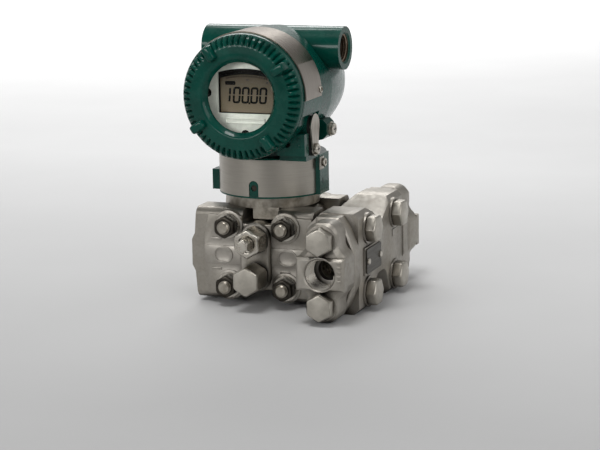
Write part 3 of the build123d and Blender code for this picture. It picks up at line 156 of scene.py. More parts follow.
class Coating:
    """A material in the making, with the patterns of a real size that the finishes are made of."""

    def __init__(self, name: str, inputs: Optional[dict] = None) -> None:
        """Starts a material with one Principled shader.

        Args:
            name: Name of the material.
            inputs: Plain settings of the shader.
        """
        self.material = bpy.data.materials.new(name)
        self.material.use_nodes = True
        self.tree = self.material.node_tree
        self.tree.nodes.clear()
        self.shader = add_node(self.tree, "ShaderNodeBsdfPrincipled", inputs)
        self.out = add_node(self.tree, "ShaderNodeOutputMaterial", {"Surface": self.shader.outputs["BSDF"]})
        self.coords = add_node(self.tree, "ShaderNodeTexCoord").outputs["Object"]

    def finish(self, links: dict[str, Socket]) -> bpy.types.Material:
        """Links outputs to the shader and hands the material over.

        Args:
            links: Name of a socket of the shader to the output that feeds it.

        Returns:
            The material.
        """
        for name, output in links.items():
            self.tree.links.new(output, self.shader.inputs[name])
        return self.material

    def grain(self, size_mm: float, detail: float = 3.0, stretch: Triple = EVEN) -> Socket:
        """Adds a noise pattern of a real size.

        Args:
            size_mm: Size of one patch.
            detail: Number of finer layers.
            stretch: Factor on the scale along X, Y and Z.

        Returns:
            The pattern, from 0 to 1.
        """
        scaled = add_node(self.tree, "ShaderNodeMapping", {"Vector": self.coords, "Scale": stretch})
        noise = add_node(self.tree, "ShaderNodeTexNoise",
                         {"Vector": scaled.outputs[0], "Scale": 1.0 / (size_mm * MM), "Detail": detail,
                          "Roughness": 0.55})
        return noise.outputs["Fac"]

    def tones(self, low: Stop, high: Stop, size_mm: float, detail: float = 3.0, stretch: Triple = EVEN) -> Socket:
        """Spreads two tones in patches.

        Args:
            low: Level of the pattern up to which the first tone is pure, and that tone.
            high: Level from which the second tone is pure, and that tone.
            size_mm: Size of one patch.
            detail: Number of finer layers.
            stretch: Factor on the scale along X, Y and Z.

        Returns:
            The colour.
        """
        pattern = self.grain(size_mm, detail, stretch)
        return add_node(self.tree, "ShaderNodeValToRGB", {"Fac": pattern}, (low, high)).outputs["Color"]

    def corner_shaded(self, base: Socket, reach_mm: float, deep: Stop, clear_from: float) -> Socket:
        """Paints shade into a colour in corners, darker where walls hide more of the sky: a painted shade.

        Args:
            base: Colour on an open face.
            reach_mm: Distance over which a wall paints shade on its neighbour.
            deep: Share of open sky up to which the painted shade is full, and its colour.
            clear_from: Share of open sky from which there is no painted shade.

        Returns:
            The colour.
        """
        # Ambient occlusion drives a painted shade: corners and recesses are darkened in the colour.
        sky = add_node(self.tree, "ShaderNodeAmbientOcclusion", {"Distance": reach_mm * MM}, samples=6)
        corner_shade = add_node(self.tree, "ShaderNodeValToRGB", {"Fac": sky.outputs["AO"]}, (deep, (clear_from, WHITE)))
        return add_node(self.tree, "ShaderNodeMixRGB", {"Fac": 1.0, "Color1": base, "Color2": corner_shade.outputs["Color"]},
                        blend_type="MULTIPLY").outputs[0]

    def relief(self, size_mm: float, depth_mm: float, detail: float, stretch: Triple = EVEN,
               below: Optional[Socket] = None) -> Socket:
        """Raises a pattern of a real size and depth.

        Args:
            size_mm: Size of one patch.
            depth_mm: Height of the pattern at 1.
            detail: Number of finer layers.
            stretch: Factor on the scale along X, Y and Z.
            below: Normal of a coarser relief that this one lies on.

        Returns:
            The normal.
        """
        inputs = {"Height": self.grain(size_mm, detail, stretch), "Distance": depth_mm * MM, "Strength": 1.0}
        if below is not None:
            inputs["Normal"] = below
        return add_node(self.tree, "ShaderNodeBump", inputs).outputs["Normal"]


@dataclass(frozen=True)
class PaintFinish:
    """Baked polyurethane paint on die-cast aluminium.

    The casting's skin shows through as a slight waviness, with an orange peel on it. The paint is a dark teal
    with a soft gloss, and it is painted darker in corners as painted shade.
    """

    name: str = "baked_polyurethane_paint"
    colour: str = "#03463b"
    deep: str = "#023a31"
    patch_mm: float = 16.0
    corner_mm: float = 2.5
    gloss_mm: float = 5.0
    peel_mm: float = 1.3
    wave_mm: float = 9.0
    roughness: float = 0.27

    def make(self) -> bpy.types.Material:
        """Builds the material.

        Returns:
            The material.
        """
        paint = Coating(self.name, {"IOR": 1.5, "Specular IOR Level": 0.1, "Coat Weight": 0.33,
                                    "Coat Roughness": 0.05})
        shade = paint.tones((0.3, linear(self.deep)), (0.62, linear(self.colour)), self.patch_mm)
        wave = paint.relief(self.wave_mm, 0.03, 1.0)
        return paint.finish({
            # Painted shade: the paint is darkened in corners.
            "Base Color": paint.corner_shaded(shade, self.corner_mm, (0.15, grey(0.55)), 0.75),
            "Roughness": paint.tones((0.3, grey(self.roughness - 0.05)), (0.7, grey(self.roughness + 0.07)),
                                     self.gloss_mm),
            "Normal": paint.relief(self.peel_mm, 0.012, 2.0, below=wave)})


@dataclass(frozen=True)
class CastFinish:
    """Investment-cast stainless steel, bead blasted.

    The blasted skin is a satin warm grey with a fine grit, drawn a little coarser than the real 0.2 mm so
    that it shows. Corners are painted darker towards a warm brown, a painted shade, and broad patches differ
    in tone.
    """

    name: str = "bead_blasted_cast_stainless"
    colour: str = "#aca79f"
    dark: str = "#9b968d"
    # Colour of the painted shade in corners.
    corner_shade: str = "#3b332a"
    grit_mm: float = 0.7
    speck_mm: float = 1.8
    gloss_mm: float = 3.0
    corner_mm: float = 6.5
    wave_mm: float = 7.0
    patch_mm: float = 22.0
    roughness: float = 0.44

    def make(self) -> bpy.types.Material:
        """Builds the material.

        Returns:
            The material.
        """
        cast = Coating(self.name, {"Metallic": 1.0})
        tone = cast.tones((0.35, linear(self.dark)), (0.65, linear(self.colour)), self.patch_mm)
        speck = cast.tones((0.3, grey(0.92)), (0.55, WHITE), self.speck_mm, 4.0)
        skin = add_node(cast.tree, "ShaderNodeMixRGB", {"Fac": 1.0, "Color1": tone, "Color2": speck},
                        blend_type="MULTIPLY")
        wave = cast.relief(self.wave_mm, 0.07, 2.0)
        return cast.finish({
            # Painted shade: corners are darkened towards a warm brown.
            "Base Color": cast.corner_shaded(skin.outputs[0], self.corner_mm, (0.22, linear(self.corner_shade)), 0.82),
            "Roughness": cast.tones((0.3, grey(self.roughness - 0.08)), (0.7, grey(self.roughness + 0.12)),
                                    self.gloss_mm, 4.0),
            "Normal": cast.relief(self.grit_mm, 0.02, 3.0, below=wave)})


@dataclass(frozen=True)
class TurnedFinish:
    """Machined stainless steel bar, as turned or milled.

    Bright and smooth, with tool marks about 0.25 mm apart, drawn at 0.5 mm so that they show, and a few
    duller patches from handling.
    """

    name: str = "turned_stainless_bar"
    colour: str = "#c6c1b7"
    dark: str = "#b7b1a6"
    marks_mm: float = 0.5
    patch_mm: float = 4.0
    corner_mm: float = 1.6
    roughness: float = 0.27
    depth_mm: float = 0.006
    stretch: Triple = (0.15, 1.0, 0.15)

    def make(self) -> bpy.types.Material:
        """Builds the material.

        Returns:
            The material.
        """
        bar = Coating(self.name, {"Metallic": 1.0})
        tone = bar.tones((0.3, linear(self.dark)), (0.6, linear(self.colour)), self.patch_mm, 4.0)
        return bar.finish({
            # Painted shade: the bar is darkened in corners.
            "Base Color": bar.corner_shaded(tone, self.corner_mm, (0.1, grey(0.35)), 0.7),
            "Roughness": bar.tones((0.3, grey(self.roughness - 0.03)), (0.7, grey(self.roughness + 0.06)),
                                   self.patch_mm, 2.0),
            "Normal": bar.relief(self.marks_mm, self.depth_mm, 1.0, self.stretch)})


@dataclass(frozen=True)
class BrushedFinish:
    """Stainless sheet, brushed along its length.

    Fine parallel scratches about 0.1 mm apart, drawn at 0.35 mm so that they show, catch the light in streaks.
    """

    name: str = "brushed_stainless_sheet"
    colour: str = "#aca79e"
    dark: str = "#a39e95"
    scratch_mm: float = 0.35
    depth_mm: float = 0.0015
    corner_mm: float = 1.2
    stretch: Triple = (0.02, 0.02, 1.0)
    roughness: float = 0.3

    def make(self) -> bpy.types.Material:
        """Builds the material.

        Returns:
            The material.
        """
        sheet = Coating(self.name, {"Metallic": 1.0})
        streaks = (self.scratch_mm, 3.0, self.stretch)
        tone = sheet.tones((0.3, linear(self.dark)), (0.62, linear(self.colour)), *streaks)
        return sheet.finish({
            # Painted shade: the sheet is darkened in corners.
            "Base Color": sheet.corner_shaded(tone, self.corner_mm, (0.1, grey(0.4)), 0.7),
            "Roughness": sheet.tones((0.3, grey(self.roughness + 0.06)), (0.65, grey(self.roughness)), *streaks),
            "Normal": sheet.relief(self.scratch_mm, self.depth_mm, 3.0, self.stretch)})


@dataclass(frozen=True)
class MouldedFinish:
    """Moulded plastic or rubber with a fine spark-eroded texture.

    The grain is about 0.15 mm on the real piece, drawn at 0.4 mm so that it shows.
    """

    name: str
    colour: str
    roughness: float
    grain_mm: float = 0.4
    depth_mm: float = 0.01
    patch_mm: float = 6.0
    gloss_mm: float = 1.5
    gloss: float = 0.5

    def make(self) -> bpy.types.Material:
        """Builds the material.

        Returns:
            The material.
        """
        plastic = Coating(self.name, {"Specular IOR Level": self.gloss})
        base = linear(self.colour)
        darker = (base[0] * 0.82, base[1] * 0.82, base[2] * 0.82, 1.0)
        return plastic.finish({
            "Base Color": plastic.tones((0.3, darker), (0.65, base), self.patch_mm),
            "Roughness": plastic.tones((0.3, grey(self.roughness - 0.05)), (0.7, grey(self.roughness + 0.05)),
                                       self.gloss_mm),
            "Normal": plastic.relief(self.grain_mm, self.depth_mm, 2.0)})


@dataclass(frozen=True)
class PanelFinish:
    """Reflective liquid crystal panel: a brownish grey cell with a glossy skin, painted darker towards the top as
    painted shade.
    """

    low_z: float
    high_z: float
    name: str = "liquid_crystal_cell"
    upper: str = "#393123"
    lower: str = "#766955"
    cloud_mm: float = 8.0

    def make(self) -> bpy.types.Material:
        """Builds the material.

        Returns:
            The material.
        """
        cell = Coating(self.name)
        height = add_node(cell.tree, "ShaderNodeSeparateXYZ", {"Vector": cell.coords}).outputs["Z"]
        share = add_node(cell.tree, "ShaderNodeMapRange", {"Value": height, "From Min": self.low_z,
                                                           "From Max": self.high_z}).outputs[0]
        # Painted shade: the cell's colour darkens from the foot to the top.
        shade = add_node(cell.tree, "ShaderNodeValToRGB", {"Fac": share},
                         ((0.0, linear(self.lower)), (1.0, linear(self.upper))))
        return cell.finish({"Base Color": shade.outputs["Color"],
                            "Roughness": cell.tones((0.3, grey(0.16)), (0.7, grey(0.24)), self.cloud_mm)})


@dataclass(frozen=True)
class GlassFinish:
    """Tempered soda-lime glass with an anti-reflection coat and the faintest waviness.

    The coat is drawn as a low refractive index, so that the window mirrors little. Light passes the glass
    without a dark shadow.
    """

    name: str = "tempered_window_glass"
    tint: Colour = (0.97, 0.99, 0.98, 1.0)
    ior: float = 1.09
    wave_mm: float = 20.0
    depth_mm: float = 0.004

    def make(self) -> bpy.types.Material:
        """Builds the material.

        Returns:
            The material.
        """
        glass = Coating(self.name, {"Base Color": self.tint, "Transmission Weight": 1.0, "IOR": self.ior,
                                    "Roughness": 0.0})
        clear = add_node(glass.tree, "ShaderNodeBsdfTransparent")
        path = add_node(glass.tree, "ShaderNodeLightPath")
        mixed = add_node(glass.tree, "ShaderNodeMixShader", {0: path.outputs["Is Shadow Ray"],
                                                             1: glass.shader.outputs["BSDF"],
                                                             2: clear.outputs["BSDF"]})
        glass.tree.links.new(mixed.outputs[0], glass.out.inputs["Surface"])
        return glass.finish({"Normal": glass.relief(self.wave_mm, self.depth_mm, 0.0)})


def centre(node: str) -> Vector:
    """Returns the middle of a node's box at rest."""
    low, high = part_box(node)
    return (Vector(low) + Vector(high)) / 2


def front_of(node: str) -> float:
    """Returns the Y of the face of a node that looks towards the display side."""
    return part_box(node)[0][1]


HEAD_X, BARREL_Z = centre("window_glass").x, centre("window_glass").z
PORT_X, FLOW_Z = centre("orifice_plate").x, centre("orifice_plate").z
BARREL = Vector((HEAD_X, 0.0, BARREL_Z))


def deselect() -> None:
    """Deselects everything, so that the next operator acts on its own piece alone."""
    bpy.ops.object.select_all(action="DESELECT")


def take(thing: Piece) -> Piece:
    """Selects one object alone and makes it the active one.

    Args:
        thing: The object.

    Returns:
        The same object.
    """
    deselect()
    thing.select_set(True)
    bpy.context.view_layer.objects.active = thing
    return thing


def settle(thing: Piece) -> Piece:
    """Moves an object's place, turn and scale into its mesh.

    Args:
        thing: The object.

    Returns:
        The same object.
    """
    take(thing)
    bpy.ops.object.transform_apply(location=True, rotation=True, scale=True)
    return thing


def opened(thing: Piece, kind: str = "FACE", whole: bool = False) -> None:
    """Opens an object for editing.

    Args:
        thing: Object to edit.
        kind: VERT, EDGE or FACE.
        whole: True to select all of it, False to select nothing.
    """
    take(thing)
    bpy.ops.object.mode_set(mode="EDIT")
    bpy.ops.mesh.select_mode(type=kind)
    bpy.ops.mesh.select_all(action="SELECT" if whole else "DESELECT")


def closed() -> None:
    """Ends editing."""
    bpy.ops.object.mode_set(mode="OBJECT")


def pick_faces(thing: Piece, test: Callable[[bpy.types.MeshPolygon], bool]) -> None:
    """Opens an object with some faces selected.

    Args:
        thing: Object to edit.
        test: True for a face that is selected.
    """
    opened(thing, "FACE")
    closed()
    for face in thing.data.polygons:
        face.select = bool(test(face))
    bpy.ops.object.mode_set(mode="EDIT")


def pick_vertices(thing: Piece, test: Callable[[bpy.types.MeshVertex], bool]) -> None:
    """Opens an object with some vertices selected.

    Args:
        thing: Object to edit.
        test: True for a vertex that is selected.
    """
    opened(thing, "VERT")
    closed()
    for vertex in thing.data.vertices:
        vertex.select = bool(test(vertex))
    bpy.ops.object.mode_set(mode="EDIT")


def pushed(x: float = 0.0, y: float = 0.0) -> None:
    """Extrudes what is selected by a shift along X and Y, in metres."""
    bpy.ops.mesh.extrude_region_move(TRANSFORM_OT_translate={"value": (x, y, 0.0)})


def sunk(thing: Piece, test: Callable[[bpy.types.MeshPolygon], bool], rim_mm: float, x: float = 0.0,
         y: float = 0.0) -> None:
    """Insets the faces that pass a test and pushes their middle in.

    Args:
        thing: The piece.
        test: True for a face that is pushed in.
        rim_mm: Width of the rim that stays.
        x: Shift along X, in metres.
        y: Shift along Y, in metres.
    """
    pick_faces(thing, test)
    bpy.ops.mesh.inset(thickness=rim_mm * MM)
    pushed(x, y)
    closed()


def faced_outwards(thing: Piece) -> Piece:
    """Turns the faces of a piece outwards.

    Args:
        thing: The piece.

    Returns:
        The same piece.
    """
    opened(thing, whole=True)
    bpy.ops.mesh.normals_make_consistent(inside=False)
    closed()
    return thing


def with_modifier(thing: Piece, kind: str, **settings) -> Piece:
    """Adds a modifier, sets it and applies it.

    Args:
        thing: Object that takes the modifier.
        kind: Blender's name of the modifier type.
        settings: Attributes of the modifier.

    Returns:
        The same object.
    """
    take(thing)
    modifier = thing.modifiers.new("shaping", kind)
    for name, value in settings.items():
        setattr(modifier, name, value)
    bpy.ops.object.modifier_apply(modifier=modifier.name)
    return thing


def rounded(thing: Piece, width_mm: float, segments: int = 2) -> Piece:
    """Rounds all sharp edges of an object.

    Args:
        thing: The object.
        width_mm: Width of the rounding.
        segments: Number of its facets.

    Returns:
        The same object.
    """
    return with_modifier(thing, "BEVEL", width=width_mm * MM, segments=segments, limit_method="ANGLE",
                         angle_limit=math.radians(35), harden_normals=False)


def named(name: str) -> Piece:
    """Names the primitive that was just added and settles it.

    Args:
        name: Name of the piece.

    Returns:
        The piece.
    """
    thing = settle(bpy.context.object)
    thing.name = name
    return thing


def stood(thing: Piece, at: Sequence[float], way: Way) -> Piece:
    """Turns a piece that stands on the origin along +Z, and moves it to a point.

    Args:
        thing: The piece.
        at: The point, in metres.
        way: Direction in which it then stands.

    Returns:
        The same piece, settled.
    """
    thing.rotation_euler = way.value
    thing.location = at
    return settle(thing)


def disc(name: str, radius_mm: float, height_mm: float, at: Sequence[float], way: Way) -> Piece:
    """Adds a round bar that stands on a point.

    Args:
        name: Name of the piece.
        radius_mm: Its radius.
        height_mm: Its height.
        at: Middle of its foot, in metres.
        way: Direction in which it stands.

    Returns:
        The piece, settled.
    """
    deselect()
    bpy.ops.mesh.primitive_cylinder_add(vertices=32, radius=radius_mm * MM, depth=height_mm * MM,
                                        location=(0.0, 0.0, height_mm * MM / 2))
    return stood(named(name), at, way)


def tube(name: str, radius_mm: float, length_mm: float, middle: Sequence[float], way: Way, sides: int) -> Piece:
    """Adds the bare wall of a round tube.

    Args:
        name: Name of the piece.
        radius_mm: Its radius.
        length_mm: Its length.
        middle: Its middle, in metres.
        way: Direction of its axis.
        sides: Number of its sides.

    Returns:
        The piece, settled.
    """
    deselect()
    bpy.ops.mesh.primitive_cylinder_add(vertices=sides, radius=radius_mm * MM, depth=length_mm * MM,
                                        end_fill_type="NOTHING", rotation=way.value, location=middle)
    return named(name)


def block(name: str, size_mm: Sequence[float], at: Sequence[float]) -> Piece:
    """Adds a block round a point.

    Args:
        name: Name of the piece.
        size_mm: Its size along X, Y and Z.
        at: Its middle, in metres.

    Returns:
        The piece, settled.
    """
    deselect()
    bpy.ops.mesh.primitive_cube_add(size=1.0, location=at)
    bpy.context.object.scale = tuple(v * MM for v in size_mm)
    return named(name)


def round_head(name: str, radius_mm: float, height_mm: float, foot: Sequence[float]) -> Piece:
    """Makes a recessed round screw head that stands on a point and looks to the right.

    Args:
        name: Name of the piece.
        radius_mm: Radius of the head.
        height_mm: Its height.
        foot: Middle of its foot, in metres.

    Returns:
        The head.
    """
    head = rounded(disc(name, radius_mm, height_mm, foot, Way.RIGHT), height_mm * 0.45, 3)
    top = foot[0] + (height_mm - 0.05) * MM
    sunk(head, lambda face: face.normal.x > 0.95 and face.center.x > top, radius_mm * 0.22,
         x=-0.5 * height_mm * MM)
    return head


def helix(name: str, radius_mm: float, pitch_mm: float, turns: int, at: Sequence[float], way: Way,
          outwards: bool) -> Piece:
    """Adds the ridge of a screw thread.

    Args:
        name: Name of the piece.
        radius_mm: Radius of the wall that the ridge stands on.
        pitch_mm: Rise per turn.
        turns: Number of turns.
        at: Point on the axis where the thread starts, in metres.
        way: Direction in which it climbs.
        outwards: True on a screw, False in a hole.

    Returns:
        The piece, settled.
    """
    deselect()
    lean = math.pi / 2 if outwards else -math.pi / 2
    bpy.ops.mesh.primitive_circle_add(vertices=3, radius=0.5 * pitch_mm * MM, fill_type="NOTHING",
                                      location=(radius_mm * MM, 0.0, 0.0), rotation=(math.pi / 2, lean, 0.0))
    thread = with_modifier(named(name), "SCREW", axis="Z", angle=2 * math.pi, screw_offset=pitch_mm * MM,
                           iterations=turns, steps=40, render_steps=40, use_smooth_shade=False)
    opened(thread, whole=True)
    bpy.ops.mesh.fill_holes(sides=3)
    closed()
    return stood(faced_outwards(thread), at, way)


def copy_of(thing: Piece, name: str, move: Sequence[float] = (0.0, 0.0, 0.0)) -> Piece:
    """Copies a piece with its own mesh.

    Args:
        thing: Piece to copy.
        name: Name of the copy.
        move: Shift of the copy, in metres.

    Returns:
        The copy, settled.
    """
    copy = thing.copy()
    copy.data = thing.data.copy()
    copy.name = name
    bpy.context.scene.collection.objects.link(copy)
    copy.matrix_world = Matrix.Translation(Vector(move))
    return settle(copy)


def swung(thing: Piece, name: str, degrees: float) -> Piece:
    """Copies a piece and swings the copy about the barrel's axis.

    Args:
        thing: Piece to copy.
        name: Name of the copy.
        degrees: Angle, from the right upwards.

    Returns:
        The copy, settled.
    """
    copy = copy_of(thing, name)
    turn = Matrix.Rotation(-math.radians(degrees), 4, "Y")
    copy.matrix_world = Matrix.Translation(BARREL) @ turn @ Matrix.Translation(-BARREL)
    return settle(copy)


def mirrored(thing: Piece, name: str) -> Piece:
    """Copies a piece to the other end of the flow axis.

    Args:
        thing: Piece to copy.
        name: Name of the copy.

    Returns:
        The copy, settled.
    """
    copy = copy_of(thing, name)
    copy.scale = (1.0, -1.0, 1.0)
    return faced_outwards(settle(copy))


def joined(name: str, things: Sequence[Piece]) -> Piece:
    """Joins pieces into one.

    Args:
        name: Name of the joined piece.
        things: The pieces, the first of which takes up the others.

    Returns:
        The joined piece.
    """
    take(things[0])
    for thing in things:
        thing.select_set(True)
    bpy.ops.object.join()
    things[0].name = name
    return things[0]


def removed(*things: Piece) -> None:
    """Removes the models that pieces were copied from."""
    for thing in things:
        bpy.data.objects.remove(thing)


def finished(thing: Piece, material: bpy.types.Material, body: Body, smooth_deg: float = 35.0) -> Piece:
    """Smooths, dresses and mounts a piece.

    Args:
        thing: The piece.
        material: Its finish.
        body: Body of the mechanism that it rides on.
        smooth_deg: Edges flatter than this are shaded round.

    Returns:
        The same piece.
    """
    take(thing)
    bpy.ops.object.shade_smooth_by_angle(angle=math.radians(smooth_deg))
    thing.data.materials.clear()
    thing.data.materials.append(material)
    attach(thing, body.value)
    log.info("piece %s rides on %s", thing.name, body.value)
    return thing


class Finishes:
    """All finishes of the transmitter, each made once."""

    def __init__(self) -> None:
        """Builds every material."""
        self.paint = PaintFinish().make()
        self.cast = CastFinish().make()
        self.turned_y = TurnedFinish().make()
        self.rolled = TurnedFinish("rolled_stainless_stud", colour="#a8a297", dark="#8d877c", roughness=0.38).make()
        self.turned_x = TurnedFinish("turned_stainless_bar_across", stretch=(1.0, 0.15, 0.15)).make()
        self.capsule = TurnedFinish("turned_capsule_block", colour="#a39d92", dark="#7e786e", roughness=0.34,
                                    stretch=(0.15, 0.15, 1.0)).make()
        self.band = BrushedFinish().make()
        self.strip = BrushedFinish("brushed_name_strip", stretch=(0.02, 1.0, 0.02), colour="#9a9085",
                                   dark="#857c71", roughness=0.26).make()
        self.guard = BrushedFinish("brushed_guard_sheet", stretch=(0.3, 0.3, 0.02), colour="#b5afa5",
                                   dark="#8f897f").make()
        self.nuts = TurnedFinish("blackened_steel_nut", colour="#45413b", dark="#2c2925", roughness=0.34).make()
        self.plate = BrushedFinish("etched_data_plate", stretch=(0.02, 0.02, 1.0), colour="#5f5d58",
                                   dark="#484641", roughness=0.4).make()
        self.rubber = MouldedFinish("nitrile_rubber", "#1c1b1a", 0.72).make()
        self.ptfe = MouldedFinish("sintered_ptfe", "#e6e4dd", 0.45).make()
        self.bezel = MouldedFinish("light_grey_abs", "#dfe0d5", 0.4).make()
        self.forged = CastFinish("forged_hexagon_head", colour="#bdb8ae", dark="#a9a49a", patch_mm=9.0,
                                 roughness=0.36).make()
        self.module = MouldedFinish("black_glass_filled_nylon", "#201f21", 0.5).make()
        self.ink = MouldedFinish("dark_crystal_segment", "#0b0907", 0.8, gloss=0.15).make()
        self.faint_ink = MouldedFinish("faint_crystal_segment", "#3a332a", 0.8, gloss=0.15).make()
        self.raw_bore = TurnedFinish("raw_tapped_aluminium", colour="#9a8a7a", dark="#6a5c4e", roughness=0.4,
                                     stretch=(1.0, 0.15, 0.15)).make()
        self.strip_plate = BrushedFinish("bare_etched_strip_plate", stretch=(0.02, 1.0, 0.02), colour="#a7a099",
                                         dark="#99928a", roughness=0.42).make()
        self.panel = PanelFinish(low_z=BARREL_Z - 0.0116, high_z=BARREL_Z + 0.0173).make()
        self.glass = GlassFinish().make()
        self.brass = TurnedFinish("nickel_plated_brass", colour="#c9bfa4", dark="#a79c80").make()


def dress(node: str, material: bpy.types.Material) -> None:
    """Gives a node of the frame its finish, in every material slot.

    Args:
        node: Name of the node.
        material: Its finish.
    """
    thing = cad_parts[node]
    if not thing.material_slots:
        thing.data.materials.append(material)
    for slot in thing.material_slots:
        slot.material = material


def dress_frame(finishes: Finishes) -> None:
    """Dresses every node of the frame.

    Args:
        finishes: Finishes of the transmitter.
    """
    plan = {
        "paint": ("amplifier_housing", "display_cover", "terminal_cover"),
        "cast": CASTINGS,
        "capsule": ("capsule_body", "pressure_sensor"),
        "rolled": ("flange_studs",),
        "turned_y": ("front_drain_plug", "rear_drain_plug", "front_vent_plug", "rear_vent_plug",
                     "front_vent_screw", "rear_vent_screw", "connector_bolts", "orifice_plate", "front_spacer",
                     "rear_spacer", "flange_washers"),
        "turned_x": ("manifold_bolts", "data_plate_screws", "guard_pivot", "ground_screw", "ground_washer",
                     "zero_screw", "entry_plug"),
        "band": ("neck_band",),
        "strip": ("name_strip",),
        "guard": ("zero_guard", "sealing_diaphragms"),
        "nuts": ("flange_nuts", "glass_retainer", "swivel_lock_screw"),
        "plate": ("data_plate",),
        "rubber": ("guard_gasket",),
        "ptfe": ("capsule_gaskets", "orifice_seals", "connector_seals"),
        "bezel": ("display_bezel",),
        "panel": ("lcd_panel",),
        "module": ("amplifier_module", "terminal_block"),
        "glass": ("window_glass",),
        "brass": ("terminal_screws",),
    }
    dressed = {node: finish for finish, nodes in plan.items() for node in nodes}
    for node, finish in dressed.items():
        dress(node, getattr(finishes, finish))
    missing = sorted(set(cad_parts) - set(dressed))
    if missing:
        raise ValueError(f"nodes without a finish: {missing}")
    log.info("dressed %d nodes", len(dressed))


@dataclass
class SoftEdges:
    """Cast and forged pieces with the rounded edges that their plain solids leave sharp."""

    finishes: Finishes
    cast_radius: float = 0.9
    forged_radius: float = 0.4
    chamfer_share: float = 0.17
    vent_radius: float = 0.25

    def build(self) -> None:
        """Rounds the castings and the hexagons, and chamfers the hexagons' outer corners."""
        cast, forged, turned = self.finishes.cast, self.finishes.forged, self.finishes.turned_y
        along_x, along_y = Vector((1.0, 0.0, 0.0)), Vector((0.0, 1.0, 0.0))
        for node in CASTINGS:
            self.soften(node, cast, self.cast_radius)
        for node in ("connector_bolts", "front_drain_plug", "rear_drain_plug"):
            self.soften(node, forged, self.forged_radius, along_y)
        for end, body in (("front", Body.FRONT_VENT), ("rear", Body.REAR_VENT)):
            self.soften(f"{end}_vent_plug", turned, self.vent_radius, along_y)
            self.soften(f"{end}_vent_screw", turned, self.vent_radius, along_y, body)
        self.soften("manifold_bolts", forged, self.forged_radius, along_x)
        self.soften("flange_nuts", self.finishes.nuts, self.forged_radius, along_y)

    def soften(self, node: str, material: bpy.types.Material, radius: float,
               axis: Optional[Vector] = None, body: Body = Body.PROCESS) -> None:
        """Copies a solid, joins its loose corners and rounds its sharp edges.

        Args:
            node: Name of the node in the frame.
            material: Its finish.
            radius: Width of the rounding.
            axis: Axis of its hexagons, where their outer corners are cut.
            body: Body of the mechanism that it rides on.
        """
        piece = copy_of(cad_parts[node], f"{node}_softened")
        opened(piece, "VERT", whole=True)
        bpy.ops.mesh.remove_doubles(threshold=0.005 * MM)
        bpy.ops.mesh.dissolve_limited(angle_limit=math.radians(1.0))
        closed()
        if axis:
            self.cut_corners(piece, axis)
        with_modifier(piece, "BEVEL", width=radius * MM, segments=2, limit_method="ANGLE",
                      angle_limit=math.radians(34), use_clamp_overlap=True, miter_outer="MITER_ARC")
        finished(piece, material, body, 30.0)
        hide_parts(node)

    def cut_corners(self, piece: Piece, axis: Vector) -> None:
        """Cuts the corners at the outer end of each hexagon.

        A corner of a hexagon is the end of an edge along the axis where two faces meet 60 degrees apart. Only
        the corners at the two outermost levels are cut.

        Args:
            piece: Piece whose corners are cut.
            axis: Axis of the hexagons.
        """
        mesh = piece.data
        normals: dict[tuple[int, int], list[Vector]] = {}
        for face in mesh.polygons:
            for key in face.edge_keys:
                normals.setdefault(key, []).append(face.normal.copy())
        levels: dict[int, float] = {}
        for (a, b), sides in normals.items():
            run = (mesh.vertices[a].co - mesh.vertices[b].co).normalized()
            if len(sides) == 2 and abs(run.dot(axis)) > 0.99 and 50 < math.degrees(sides[0].angle(sides[1])) < 70:
                levels.update({v: mesh.vertices[v].co.dot(axis) for v in (a, b)})
        if not levels:
            log.info("%s has no corners to cut", piece.name)
            return
        ends = (min(levels.values()), max(levels.values()))
        corners = [v for v, level in levels.items() if min(abs(level - end) for end in ends) < 0.05 * MM]
        first, *others = [mesh.vertices[v].co.copy() for v in corners]
        side = min((other - first).length for other in others)
        pick_vertices(piece, lambda vertex: vertex.index in corners)
        bpy.ops.mesh.bevel(offset=self.chamfer_share * side, segments=1, affect="VERTICES")
        closed()
        log.info("%s: %d corners cut, sides of %.1f mm", piece.name, len(corners), side / MM)


